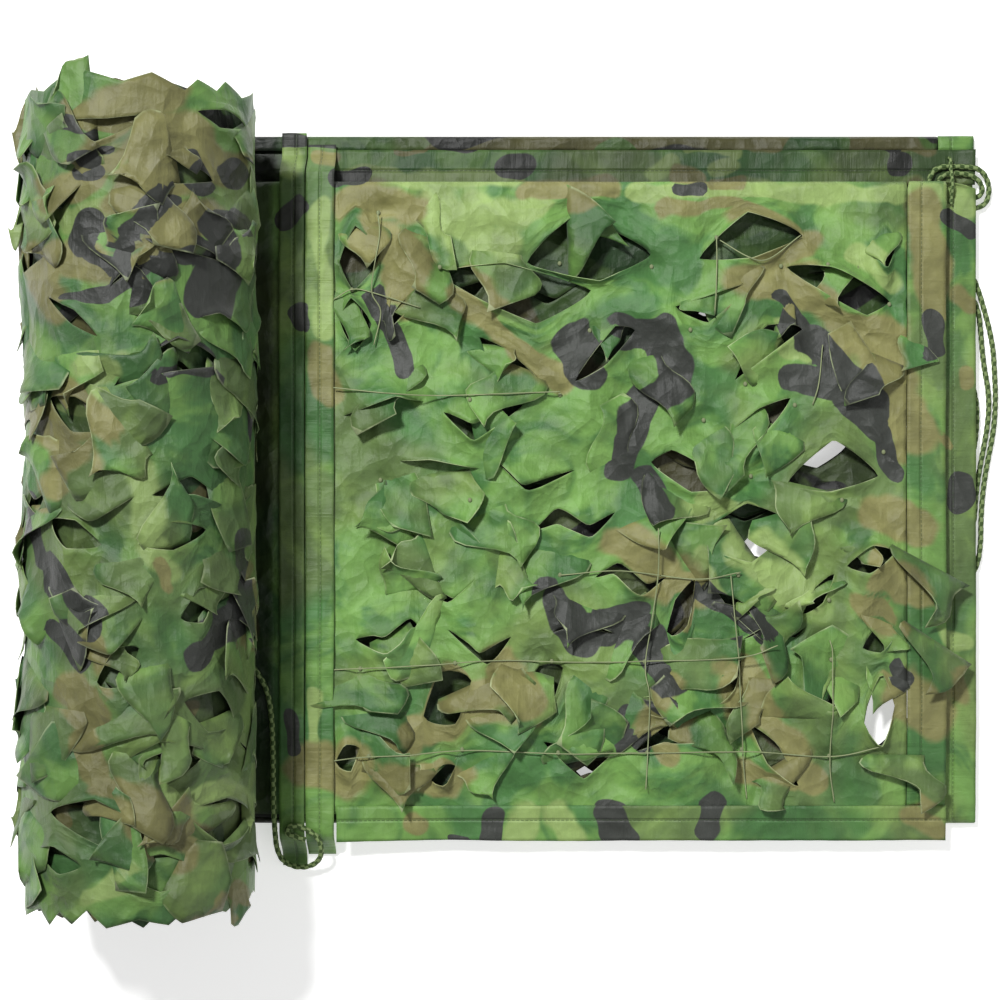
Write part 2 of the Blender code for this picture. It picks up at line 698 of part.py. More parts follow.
def main():
    clear_scene()
    materials = {name: make_material(name) for name in MATERIALS}
    make_roll(materials["leaf_cloth"])
    make_run(materials["leaf_cloth"])
    make_end_tape(materials["bound_edge"])
    make_front_tape(materials["bound_edge"])
    make_back_tape(materials["bound_edge"])
    for name in SEAM_TAPES:
        make_seam_tape(name, materials["bound_edge"])
    for name, route in ROUTES.items():
        make_rope(name, route, ROPE, ROPE_STEP, materials["rope"])
    make_rope("hitch_loop", HITCH_LOOP_ROUTE, HITCH_LOOP, HITCH_LOOP_STEP, materials["rope"])


main()
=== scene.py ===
"""The look of a camouflage net, partly unrolled: leaf-cut cloth, sewn tapes, twine and ropes.

The file is laid out as an add-on and is run as a script. Each operator builds one piece or one
group of like pieces round the frame. Lengths are in metres, with +Z up. Places named in pixels
are places in a picture 1000 pixels across, seen by the camera of the stage.
"""
import math
import random

import bmesh
import bpy
import numpy as np
from bpy.props import FloatProperty, FloatVectorProperty, IntProperty, PointerProperty
from mathutils import Matrix, Vector, noise
from mathutils.bvhtree import BVHTree


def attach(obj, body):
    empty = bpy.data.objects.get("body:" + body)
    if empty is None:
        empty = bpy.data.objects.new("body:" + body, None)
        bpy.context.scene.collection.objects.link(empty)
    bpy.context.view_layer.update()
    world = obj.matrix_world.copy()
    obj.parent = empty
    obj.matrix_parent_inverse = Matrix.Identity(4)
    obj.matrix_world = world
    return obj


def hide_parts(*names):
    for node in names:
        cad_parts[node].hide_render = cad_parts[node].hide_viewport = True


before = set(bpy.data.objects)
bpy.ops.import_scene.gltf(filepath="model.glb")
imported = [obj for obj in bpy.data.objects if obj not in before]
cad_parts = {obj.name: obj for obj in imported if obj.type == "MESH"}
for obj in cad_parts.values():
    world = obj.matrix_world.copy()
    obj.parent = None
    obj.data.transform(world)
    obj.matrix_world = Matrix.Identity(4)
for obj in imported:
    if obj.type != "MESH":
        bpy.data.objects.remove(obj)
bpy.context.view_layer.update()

bl_info = {
    "name": "Leaf-cut Net",
    "version": (1, 0, 0),
    "blender": (4, 5, 0),
    "location": "3D View > Sidebar > Net",
    "description": "Builds a partly unrolled camouflage net round its frame",
    "category": "Object",
}

BODY = "root"

# ---------------------------------------------------------------- sizes shared with the solids

ROLL_RADIUS = 0.1065
STACK = 0.0136
ROLL_AXIS_X = -0.3237
ROLL_AXIS_Z = 0.1057
ROLL_HALF = 0.340
LAYER_Z = (0.0008, 0.013, 0.026)
MARGIN_Z = 0.0055
SQUEEZE = 0.38
RUN_START = -0.3231
SQUEEZED_END = -0.3081
FULL_HEIGHT_X = -0.2190
LEAF_START = -0.1620
TOP_CLOTH_END = 0.3710
LOW_CLOTH_END = 0.4050
TOP_TAPE_END = 0.4085
LOW_TAPE_END = 0.4400
BACK_FOLD_Y = 0.342
FRONT_FOLD_Y = -0.299
TOP_FOLD_Y = 0.292
BACK_TAPE_Y = (0.2980, 0.3310)
FRONT_TAPE_Y = (-0.3190, -0.2860)
FRONT_DROOP = 0.006
DROOP_START_Y = -0.245
CREASE_HEIGHT = (0.0, 0.0015, 0.0032)
CREASE_SCALE = 12.0
CREASE_BLEND = 0.05
POCKET_TURN = (205, 268)
POCKET_BULGE = 0.006

SEAM_TAPES = {
    "seam_tape_left": (-0.2150, -0.1915, -0.3465, 0.3465),
    "seam_tape_right": (-0.1905, -0.1640, -0.3350, 0.3355),
}
SEAM_BACK_BEND = (TOP_FOLD_Y + 0.011, TOP_FOLD_Y + 0.036)
SEAM_FRONT_BEND = (-0.3400, FRONT_FOLD_Y - 0.0095)

# Routes of the ropes, the same as the solids'
ROPE_ROUTES = {
    "hitch_outer": [
        (0.3950, 0.2820, 0.0062), (0.3950, 0.2915, 0.0083), (0.3962, 0.3020, 0.0102),
        (0.4010, 0.3110, 0.0103), (0.4100, 0.3145, 0.0103), (0.4210, 0.3148, 0.0102),
        (0.4320, 0.3143, 0.0102), (0.4415, 0.3125, 0.0101), (0.4485, 0.3075, 0.0084),
        (0.4530, 0.2995, 0.0058), (0.4540, 0.2900, 0.0042), (0.4510, 0.2815, 0.0043),
        (0.4440, 0.2770, 0.0051), (0.4350, 0.2760, 0.0058), (0.4250, 0.2762, 0.0062),
    ],
    "hitch_inner": [
        (0.4030, 0.2810, 0.0062), (0.4030, 0.2905, 0.0080), (0.4045, 0.2995, 0.0098),
        (0.4095, 0.3060, 0.0101), (0.4180, 0.3082, 0.0102), (0.4270, 0.3080, 0.0102),
        (0.4360, 0.3060, 0.0101), (0.4432, 0.3010, 0.0092), (0.4468, 0.2950, 0.0072),
        (0.4458, 0.2890, 0.0060), (0.4405, 0.2862, 0.0058), (0.4330, 0.2860, 0.0061),
        (0.4240, 0.2866, 0.0062),
    ],
    "hank_outer": [
        (0.4210, 0.2260, 0.0056), (0.4300, 0.2200, 0.0054), (0.4385, 0.2105, 0.0052),
        (0.4442, 0.1980, 0.0044), (0.4500, 0.1805, 0.0028), (0.4550, 0.1615, 0.0026),
        (0.4585, 0.1420, 0.0026), (0.4600, 0.1200, 0.0026), (0.4608, 0.0980, 0.0026),
        (0.4600, 0.0760, 0.0026), (0.4575, 0.0570, 0.0026), (0.4538, 0.0380, 0.0026),
        (0.4506, 0.0190, 0.0026), (0.4484, 0.0000, 0.0026), (0.4472, -0.0200, 0.0026),
        (0.4465, -0.0400, 0.0032), (0.4435, -0.0580, 0.0049), (0.4370, -0.0720, 0.0053),
        (0.4280, -0.0770, 0.0055), (0.4205, -0.0710, 0.0056), (0.4180, -0.0560, 0.0056),
        (0.4180, -0.0300, 0.0056), (0.4200, -0.0050, 0.0056), (0.4260, 0.0160, 0.0055),
        (0.4350, 0.0330, 0.0053), (0.4405, 0.0530, 0.0052), (0.4425, 0.0760, 0.0051),
        (0.4415, 0.0950, 0.0051), (0.4370, 0.1110, 0.0053), (0.4290, 0.1210, 0.0055),
        (0.4190, 0.1260, 0.0056),
    ],
    "hank_inner": [
        (0.4220, 0.2060, 0.0056), (0.4310, 0.2000, 0.0054), (0.4392, 0.1895, 0.0052),
        (0.4440, 0.1770, 0.0046), (0.4465, 0.1620, 0.0030), (0.4482, 0.1430, 0.0026),
        (0.4505, 0.1240, 0.0026), (0.4535, 0.1060, 0.0026), (0.4545, 0.0880, 0.0026),
        (0.4530, 0.0700, 0.0027), (0.4500, 0.0520, 0.0030), (0.4465, 0.0340, 0.0036),
        (0.4434, 0.0170, 0.0046), (0.4415, 0.0000, 0.0051), (0.4400, -0.0170, 0.0052),
        (0.4370, -0.0320, 0.0054), (0.4315, -0.0370, 0.0055), (0.4268, -0.0310, 0.0056),
        (0.4270, -0.0190, 0.0056), (0.4310, -0.0060, 0.0055),
    ],
    "corner_rope": [
        (-0.2390, -0.1560, 0.0292), (-0.2335, -0.1640, 0.0300), (-0.2275, -0.1750, 0.0308),
        (-0.2235, -0.1900, 0.0310), (-0.2215, -0.2080, 0.0311), (-0.2207, -0.2280, 0.0311),
        (-0.2204, -0.2480, 0.0310), (-0.2202, -0.2680, 0.0308), (-0.2200, -0.2860, 0.0302),
        (-0.2195, -0.3010, 0.0288), (-0.2190, -0.3140, 0.0255), (-0.2180, -0.3260, 0.0215),
        (-0.2140, -0.3370, 0.0175), (-0.2055, -0.3440, 0.0140), (-0.1945, -0.3460, 0.0125),
        (-0.1840, -0.3425, 0.0150), (-0.1775, -0.3345, 0.0215), (-0.1760, -0.3235, 0.0290),
        (-0.1800, -0.3130, 0.0327), (-0.1880, -0.3070, 0.0333), (-0.1975, -0.3030, 0.0333),
        (-0.2055, -0.3045, 0.0332), (-0.2065, -0.3105, 0.0328), (-0.1990, -0.3135, 0.0324),
        (-0.1900, -0.3165, 0.0316),
    ],
    "hitch_loop": [
        (0.4150, 0.3222, 0.0088), (0.4150, 0.3224, 0.0128), (0.4150, 0.3180, 0.0152),
        (0.4150, 0.3110, 0.0165), (0.4150, 0.3040, 0.0192), (0.4150, 0.2975, 0.0214),
        (0.4150, 0.2910, 0.0208), (0.4150, 0.2850, 0.0180), (0.4150, 0.2780, 0.0168),
    ],
}
LOOP_ROPE = "hitch_loop"

# ---------------------------------------------------------------- the print

# Strokes of the print where the photograph shows them, by ink: both ends and the half width, in
# pixels
INK_STROKES = {
    "dark": [
        # the top layer
        ((568, 332), (586, 368), 22), ((632, 332), (662, 332), 18), ((662, 345), (668, 378), 22),
        ((655, 388), (632, 410), 20), ((636, 420), (622, 470), 15), ((645, 478), (668, 508), 14),
        ((781, 303), (812, 342), 9), ((812, 338), (838, 362), 16), ((793, 376), (830, 388), 15),
        ((838, 365), (876, 408), 18), ((846, 402), (872, 428), 16), ((882, 432), (898, 478), 9),
        ((372, 296), (384, 322), 13), ((392, 330), (402, 368), 11), ((556, 600), (580, 640), 15),
        ((605, 625), (640, 610), 15), ((650, 640), (672, 690), 17), ((700, 590), (742, 612), 10),
        ((742, 612), (768, 640), 9), ((898, 670), (908, 678), 8), ((628, 716), (640, 740), 12),
        ((338, 181), (364, 181), 8), ((676, 190), (704, 191), 7),
        # the two seam tapes
        ((286, 222), (301, 204), 10), ((300, 312), (303, 320), 11), ((292, 720), (296, 745), 9),
        # the back tape and the fold behind it
        ((512, 165), (524, 165), 14), ((896, 166), (902, 166), 11), ((285, 139), (400, 141), 8),
        ((432, 143), (472, 144), 8), ((880, 145), (894, 150), 7),
        # the end tape
        ((930, 320), (936, 352), 9), ((948, 216), (968, 232), 8), ((959, 484), (962, 500), 12),
        # the front tape
        ((498, 815), (492, 838), 11), ((606, 814), (624, 838), 14), ((710, 808), (710, 828), 13),
        ((450, 840), (470, 841), 5),
        # the roll
        ((82, 246), (95, 222), 15), ((80, 246), (112, 268), 9), ((116, 280), (128, 246), 10),
        ((128, 240), (176, 205), 11), ((75, 302), (130, 282), 8), ((130, 280), (196, 262), 12),
        ((200, 300), (215, 270), 20), ((222, 230), (236, 250), 16), ((190, 165), (205, 190), 10),
        ((228, 165), (234, 180), 11), ((168, 376), (205, 370), 10), ((92, 166), (98, 168), 9),
        ((75, 134), (104, 140), 8), ((55, 562), (66, 600), 12), ((72, 602), (92, 622), 13),
        ((55, 625), (84, 668), 8), ((232, 530), (236, 570), 10), ((240, 580), (236, 630), 10),
        ((200, 654), (228, 628), 16), ((36, 505), (44, 560), 7),
    ],
    "brown": [
        # the top layer
        ((352, 205), (415, 205), 17), ((380, 240), (415, 262), 22), ((400, 270), (405, 290), 22),
        ((465, 290), (510, 345), 17), ((510, 345), (560, 378), 18), ((530, 190), (612, 188), 11),
        ((665, 208), (735, 212), 10), ((745, 232), (800, 250), 17), ((750, 278), (800, 292), 24),
        ((795, 290), (850, 318), 26), ((855, 315), (885, 350), 28), ((880, 350), (885, 385), 24),
        ((890, 380), (918, 440), 24), ((872, 508), (925, 530), 18), ((885, 575), (918, 590), 18),
        ((858, 600), (885, 625), 11), ((905, 690), (940, 715), 22), ((640, 560), (690, 590), 20),
        ((618, 545), (640, 560), 16), ((470, 700), (505, 690), 24), ((440, 718), (400, 738), 18),
        ((505, 660), (520, 700), 18), ((310, 760), (350, 770), 22), ((395, 780), (450, 775), 16),
        ((745, 672), (758, 720), 22), ((760, 720), (790, 750), 20), ((740, 770), (810, 775), 15),
        ((675, 672), (668, 705), 15), ((655, 715), (672, 750), 14),
        # the two seam tapes
        ((322, 350), (328, 392), 12),
        # the back tape and the fold behind it
        ((322, 158), (334, 160), 8), ((392, 152), (424, 152), 4), ((676, 176), (700, 182), 9),
        ((716, 184), (742, 184), 6), ((755, 144), (780, 146), 8), ((898, 146), (930, 150), 8),
        # the end tape
        ((920, 200), (934, 296), 17), ((962, 296), (968, 304), 11), ((964, 372), (966, 386), 6),
        ((947, 436), (950, 446), 5), ((952, 668), (958, 695), 11),
        # the front tape
        ((412, 824), (418, 828), 10), ((912, 816), (936, 826), 13),
        # the roll
        ((112, 106), (165, 85), 22), ((82, 118), (120, 112), 14), ((120, 150), (190, 140), 27),
        ((190, 140), (222, 165), 20), ((60, 190), (95, 178), 14), ((130, 200), (180, 178), 24),
        ((70, 262), (100, 262), 22), ((45, 262), (60, 300), 20), ((140, 262), (200, 225), 24),
        ((70, 398), (100, 412), 16), ((48, 420), (76, 455), 22), ((62, 470), (52, 484), 15),
        ((96, 640), (104, 668), 16), ((75, 690), (96, 710), 18), ((86, 730), (100, 790), 15),
        ((110, 805), (160, 812), 20), ((150, 830), (185, 845), 20), ((160, 560), (168, 585), 9),
        ((245, 560), (246, 640), 9), ((205, 912), (218, 925), 9), ((232, 890), (240, 896), 10),
    ],
    "pale": [
        # the top layer
        ((430, 205), (500, 250), 22), ((480, 205), (540, 210), 16), ((350, 179), (520, 180), 9),
        ((640, 192), (935, 190), 10), ((790, 345), (805, 350), 10), ((745, 545), (795, 590), 20),
        ((705, 495), (720, 520), 14), ((860, 250), (890, 285), 12), ((690, 560), (720, 600), 10),
        ((390, 300), (410, 310), 6),
        # the two seam tapes
        ((288, 140), (293, 165), 15), ((322, 205), (326, 330), 9), ((318, 690), (320, 760), 7),
        # the back tape and the fold behind it
        ((648, 172), (672, 166), 9), ((716, 172), (730, 166), 7), ((690, 148), (735, 150), 6),
        # the end tape
        ((958, 186), (962, 206), 13), ((950, 640), (966, 642), 9),
        # the front tape
        ((524, 812), (518, 838), 14), ((560, 814), (574, 838), 16),
        # the roll
        ((80, 220), (110, 205), 12), ((52, 205), (70, 225), 10), ((82, 265), (100, 262), 8),
        ((135, 478), (150, 520), 16), ((152, 545), (172, 570), 14), ((90, 375), (120, 372), 12),
        ((185, 798), (250, 806), 13), ((90, 895), (120, 880), 12), ((180, 800), (178, 830), 8),
    ],
}

INKS = ("dark", "brown", "pale")

# ---------------------------------------------------------------- the leaf cuts

UNIT_COLUMNS = 24
ROW_LINES = 14
FLOOR_CLEARANCE = 0.0006
FOLD_RADIUS = 0.0065
FRONT_FOLD_RADIUS = 0.0061
MARGIN_RADIUS = 0.00235

GAP_CORNERS = ("left", "right", "top", "bottom")


def named_rows(names, rows):
    """The rows of a table with a name for each column."""
    return [dict(zip(names, row)) for row in rows]


# Gaps of the top layer where the photograph shows them, in pixels: the gap's two tips, and the
# corner of its upper and of its lower lip
RUN_GAPS = named_rows(GAP_CORNERS, [
    ((338, 262), (379, 256), (354, 226), (352, 292)),
    ((338, 320), (371, 324), (350, 298), (354, 352)),
    ((381, 220), (485, 254), (402, 210), (443, 268)),
    ((441, 272), (591, 290), (505, 263), (537, 325)),
    ((526, 262), (652, 254), (572, 216), (600, 282)),
    ((700, 259), (802, 236), (747, 213), (752, 259)),
    ((785, 267), (891, 301), (827, 268), (866, 317)),
    ((874, 256), (904, 250), (890, 238), (890, 270)),
    ((675, 307), (750, 282), (707, 297), (706, 324)),
    ((736, 380), (804, 329), (766, 326), (784, 344)),
    ((480, 337), (538, 381), (508, 350), (498, 380)),
    ((577, 381), (637, 330), (617, 326), (607, 366)),
    ((389, 330), (416, 292), (398, 308), (408, 312)),
    ((728, 436), (791, 398), (758, 409), (750, 448)),
    ((652, 462), (726, 486), (672, 449), (690, 492)),
    ((785, 485), (880, 476), (832, 440), (828, 492)),
    ((884, 420), (931, 425), (905, 404), (906, 452)),
    ((888, 352), (918, 362), (903, 344), (900, 374)),
    ((700, 542), (793, 525), (745, 503), (750, 562)),
    ((903, 526), (936, 512), (920, 499), (918, 541)),
    ((845, 566), (893, 552), (868, 545), (866, 573)),
    ((802, 614), (836, 574), (814, 588), (824, 602)),
    ((700, 562), (776, 650), (744, 590), (732, 612)),
    ((666, 632), (696, 580), (674, 600), (690, 624)),
    ((709, 706), (742, 660), (720, 664), (734, 690)),
    ((819, 706), (846, 684), (830, 680), (834, 710)),
    ((643, 710), (686, 700), (664, 695), (664, 717)),
    ((752, 726), (799, 786), (778, 744), (768, 764)),
    ((423, 716), (470, 680), (438, 671), (456, 724)),
    ((524, 700), (563, 668), (538, 667), (551, 707)),
    ((334, 762), (358, 748), (344, 743), (350, 771)),
    ((431, 780), (457, 766), (442, 764), (447, 784)),
    ((864, 722), (903, 706), (886, 672), (882, 746)),
    ((862, 648), (903, 636), (886, 622), (884, 652)),
])

# Where light shows through, the lower layers lie open as well
THROUGH_GAPS = named_rows(GAP_CORNERS, [
    ((792, 458), (850, 446), (822, 432), (820, 468)),
    ((740, 548), (805, 524), (776, 514), (774, 560)),
    ((840, 724), (926, 704), (888, 668), (884, 750)),
    ((700, 312), (750, 292), (728, 290), (728, 316)),
])

# Gaps and cuts on the part of the roll that the photograph shows, in the same form
ROLL_GAPS = named_rows(GAP_CORNERS, [
    ((130, 174), (212, 181), (165, 154), (176, 184)),
    ((66, 120), (147, 114), (108, 120), (98, 143)),
    ((108, 288), (224, 267), (168, 238), (170, 250)),
    ((50, 298), (97, 336), (78, 310), (70, 324)),
    ((112, 386), (223, 366), (176, 338), (168, 372)),
    ((51, 398), (119, 426), (80, 397), (74, 432)),
    ((111, 468), (192, 446), (150, 437), (150, 475)),
    ((98, 682), (141, 648), (117, 648), (126, 686)),
    ((180, 618), (212, 592), (196, 588), (199, 622)),
    ((45, 697), (135, 702), (84, 690), (92, 743)),
    ((184, 702), (234, 722), (212, 690), (205, 732)),
    ((127, 762), (205, 752), (160, 740), (168, 783)),
    ((53, 812), (157, 836), (98, 798), (104, 846)),
    ((184, 812), (253, 816), (222, 797), (216, 844)),
    ((40, 850), (82, 866), (60, 844), (60, 874)),
    ((112, 866), (205, 872), (160, 854), (158, 892)),
    ((196, 112), (242, 128), (220, 112), (214, 130)),
    ((74, 226), (112, 236), (96, 224), (92, 240)),
    ((140, 545), (205, 530), (170, 522), (172, 550)),
    ((50, 520), (100, 545), (78, 520), (70, 548)),
])

# Leaf tips that stand out at the roll's side: place along Y, turn, how far they reach out, width,
# width of the tip, lean along Y, droop and ink
SIDE_LEAVES = named_rows(("y", "turn", "length", "width", "tip", "skew", "stand", "ink"), [
    (0.346, 108, 0.012, 0.034, 0.6, -0.016, -0.004, "brown"),
    (0.268, 107, 0.018, 0.020, 0.7, -0.022, -0.004, "pale"),
    (0.226, 105, 0.008, 0.048, 0.7, 0.004, -0.006, "brown"),
    (0.170, 104, 0.007, 0.028, 0.5, -0.012, -0.006, "brown"),
    (0.002, 104, 0.005, 0.032, 0.2, 0.010, -0.004, "brown"),
    (-0.040, 105, 0.011, 0.052, 0.5, -0.008, -0.005, "brown"),
    (-0.160, 104, 0.010, 0.034, 0.6, -0.016, -0.005, "green"),
    (-0.272, 107, 0.014, 0.034, 0.1, -0.022, -0.004, "pale"),
    (-0.120, 256, 0.008, 0.036, 0.3, -0.010, 0.004, "green"),
    (-0.284, 254, 0.008, 0.030, 0.1, -0.014, 0.004, "pale"),
    (0.190, 255, 0.008, 0.036, 0.3, 0.010, 0.004, "green"),
    (0.060, 256, 0.007, 0.040, 0.5, 0.006, 0.004, "dark"),
])

# Where the twine is tied to the cloth, in pixels
TIES = [
    (352, 290), (378, 212), (440, 268), (560, 262), (652, 266), (716, 238), (781, 266), (826, 266),
    (890, 304), (590, 330), (690, 330), (745, 384), (704, 420), (795, 405), (884, 452), (660, 470),
    (752, 476), (842, 500), (470, 400), (560, 395), (470, 500), (380, 480), (657, 582), (738, 575),
    (829, 600), (560, 575), (360, 669), (455, 663), (552, 662), (645, 662), (738, 662), (832, 660),
    (369, 756), (462, 750), (558, 752), (647, 752), (743, 751), (829, 756),
]
TIE_DEPTH = 0.0048
TIE_WIDTH = 0.010
TIE_CREASES = (0.0030, 0.026)

# The twine that shows over the cloth, in pixels
TWINE_LINES = [
    [(560, 575), (620, 571), (695, 579), (740, 572)],
    [(312, 671), (345, 669), (484, 661), (560, 662), (640, 661), (735, 657), (775, 644)],
    [(295, 767), (370, 756), (469, 750), (560, 752), (640, 752), (741, 751), (829, 756), (880, 745)],
    [(657, 528), (657, 582), (645, 662), (649, 697), (647, 752), (645, 788)],
    [(730, 575), (738, 662), (743, 751), (747, 799)],
    [(829, 640), (832, 660), (829, 756), (834, 802)],
    [(334, 300), (352, 290), (372, 293), (420, 308)],
    [(378, 212), (380, 240), (372, 290), (381, 312), (374, 345)],
    [(334, 388), (420, 396), (560, 392)],
    [(716, 238), (716, 262), (713, 316)],
    [(822, 345), (818, 384), (812, 405)],
    [(720, 240), (760, 262), (800, 236)],
]


# ================================================================ settings

class NetSizes(bpy.types.PropertyGroup):
    """Sizes of the net's cloth, cuts, twine and ropes."""

    cloth: FloatProperty(
        name="Cloth", description="Thickness of the cloth",
        default=0.0006, min=0.0002, unit="LENGTH",
    )
    tape: FloatProperty(
        name="Tape", description="Thickness of a sewn tape",
        default=0.0014, min=0.0004, unit="LENGTH",
    )
    rope: FloatProperty(
        name="Rope", description="Diameter of the braided rope",
        default=0.0050, min=0.001, unit="LENGTH",
    )
    loop: FloatProperty(
        name="Loop", description="Diameter of the small loop's cord",
        default=0.0036, min=0.001, unit="LENGTH",
    )
    twine: FloatProperty(
        name="Twine", description="Diameter of the square net's twine",
        default=0.0013, min=0.0004, unit="LENGTH",
    )
    lift: FloatProperty(
        name="Leaf lift", description="How far a leaf's free edge stands up",
        default=0.0150, min=0.0, unit="LENGTH",
    )
    roll_lift: FloatProperty(
        name="Roll leaf lift", description="How far a leaf's free edge stands off the roll",
        default=0.0098, min=0.0, unit="LENGTH",
    )


class NetColours(bpy.types.PropertyGroup):
    """Inks of the print and colours of the ropes and twine."""

    green: FloatVectorProperty(
        name="Green", description="Ground colour of the print", subtype="COLOR",
        size=4, min=0, max=1, default=(0.148, 0.296, 0.068, 1),
    )
    deep: FloatVectorProperty(
        name="Deep green", description="Deeper tone of the ground colour", subtype="COLOR",
        size=4, min=0, max=1, default=(0.058, 0.162, 0.043, 1),
    )
    brown: FloatVectorProperty(
        name="Brown", description="Earth ink of the print", subtype="COLOR",
        size=4, min=0, max=1, default=(0.208, 0.203, 0.073, 1),
    )
    pale: FloatVectorProperty(
        name="Pale", description="Light yellow-green ink of the print", subtype="COLOR",
        size=4, min=0, max=1, default=(0.250, 0.358, 0.112, 1),
    )
    dark: FloatVectorProperty(
        name="Dark", description="Dark ink of the print", subtype="COLOR",
        size=4, min=0, max=1, default=(0.038, 0.042, 0.036, 1),
    )
    rope_light: FloatVectorProperty(
        name="Rope light", description="Light strands of the rope", subtype="COLOR",
        size=4, min=0, max=1, default=(0.230, 0.310, 0.125, 1),
    )
    rope_dark: FloatVectorProperty(
        name="Rope dark", description="Dark strands of the rope", subtype="COLOR",
        size=4, min=0, max=1, default=(0.045, 0.080, 0.022, 1),
    )
    twine: FloatVectorProperty(
        name="Twine", description="Colour of the square net", subtype="COLOR",
        size=4, min=0, max=1, default=(0.330, 0.380, 0.200, 1),
    )


class NetStage(bpy.types.PropertyGroup):
    """Camera and lights."""

    height: FloatProperty(
        name="Camera height", description="Height of the camera over the floor",
        default=1.6, min=0.5, unit="LENGTH",
    )
    field: FloatProperty(
        name="Field", description="Width of the floor that the camera sees",
        default=0.95, min=0.1, unit="LENGTH",
    )
    centre_x: FloatProperty(
        name="Centre", description="Place of the camera along X",
        default=-0.009, unit="LENGTH",
    )
    key_power: FloatProperty(
        name="Key light", description="Power of the key light", default=152.0, min=0.0,
    )
    fill_power: FloatProperty(
        name="Fill light", description="Power of the fill light", default=9.0, min=0.0,
    )
    sky: FloatProperty(
        name="Sky", description="Strength of the light from all round", default=0.25, min=0.0,
    )
    floor_size: FloatProperty(
        name="Floor", description="Width of the floor", default=8.0, min=1.0, unit="LENGTH",
    )
    seed: IntProperty(
        name="Seed", description="Seed of the cloth's random draws", default=7, min=0,
    )


# ================================================================ small helpers

def soft_step(low, high, value):
    """0 below low, 1 above high, and a soft step between, for a number or an array."""
    share = np.clip((value - low) / (high - low), 0.0, 1.0)
    return share * share * (3 - 2 * share)


def noise_at(x, y, scale, seed):
    """Smooth noise between -1 and 1 at places x and y."""
    return np.array([noise.noise((px * scale, py * scale, seed)) for px, py in zip(x, y)])


def ridges_at(x, y, scale, seed):
    """Sharp crease lines, 1 on a crease and falling to both sides."""
    return 1 - np.abs(noise_at(x, y, scale, seed)) * 2.5


def to_pixels(places, stage):
    """Where the stage's camera sees the places, in pixels of a picture 1000 across."""
    per_metre = 1000.0 / stage.field
    nearer = stage.height / (stage.height - places[:, 2])
    across = 500 + (places[:, 0] - stage.centre_x) * nearer * per_metre
    down = 500 - places[:, 1] * nearer * per_metre
    return across, down


def wavered(value, across, down, seed):
    """Pixel places moved by the slow and the quick waver of a printed edge."""
    slow = 8.0 * noise_at(across, down, 1 / 52, seed)
    quick = 4.0 * noise_at(across, down, 1 / 19, seed + 5)
    return value + slow + quick


def ink_fields(across, down):
    """Signed fields of the inks: 1 on a stroke's line, 0 at its edge, negative outside."""
    across, down = wavered(across, across, down, 31.3), wavered(down, across, down, 57.7)
    fields = {ink: np.full(across.shape, -1.0) for ink in INKS}
    for ink, strokes in INK_STROKES.items():
        for first, last, half_width in strokes:
            start, end = np.array(first, float), np.array(last, float)
            along = end - start
            share = ((across - start[0]) * along[0] + (down - start[1]) * along[1]) / (along @ along)
            share = np.clip(share, 0, 1)
            apart = np.hypot(across - start[0] - share * along[0], down - start[1] - share * along[1])
            fields[ink] = np.maximum(fields[ink], np.maximum(1 - apart / half_width, -1.0))
    return fields


# ================================================================ grids into sheets

def finished_mesh(name, work):
    """The mesh of a finished bmesh."""
    mesh = bpy.data.meshes.new(name)
    work.to_mesh(mesh)
    work.free()
    return mesh


def vertex_places(mesh):
    """Places of a mesh's vertices, one row of an array for each."""
    flat = np.empty(len(mesh.vertices) * 3)
    mesh.vertices.foreach_get("co", flat)
    return flat.reshape(-1, 3)


def vertex_marks(mesh, name):
    """An attribute of a mesh's vertices as an array, or zeros where the mesh has none."""
    marks = np.zeros(len(mesh.vertices))
    if name in mesh.attributes:
        mesh.attributes[name].data.foreach_get("value", marks)
    return marks


def new_grid(columns, rows):
    """A flat grid whose X counts columns and whose Y counts rows."""
    work = bmesh.new()
    bmesh.ops.create_grid(work, x_segments=columns, y_segments=rows, size=0.5)
    lift = Matrix.Translation((columns / 2, rows / 2, 0))
    bmesh.ops.transform(work, matrix=lift @ Matrix.Diagonal((columns, rows, 1, 1)), verts=work.verts)
    return work


def cut_slits(work, slits):
    """Splits the grid along its slits and notes on which side of a slit each lip lies."""
    side = work.verts.layers.float.new("side")
    lines = {}
    for slit in slits:
        lines.setdefault(slit["line"], []).append((slit["first"], slit["last"]))
    chosen = []
    for edge in work.edges:
        one, two = edge.verts[0].co, edge.verts[1].co
        if abs(one.y - two.y) > 0.5:
            continue
        low, high = sorted((one.x, two.x))
        for first, last in lines.get(round(one.y), ()):
            if low > first - 0.5 and high < last + 0.5:
                chosen.append(edge)
    bmesh.ops.split_edges(work, edges=chosen)
    for vertex in work.verts:
        if round(vertex.co.y) in lines:
            faces = vertex.link_faces
            middle = sum(face.calc_center_median().y for face in faces) / len(faces)
            away = middle - vertex.co.y
            vertex[side] = 0.0 if abs(away) < 0.2 else math.copysign(1, away)


def grid_values(mesh):
    """Columns, rows and lip sides of a grid's vertices, as arrays."""
    flat = vertex_places(mesh)
    return flat[:, 0].copy(), flat[:, 1].copy(), vertex_marks(mesh, "side")


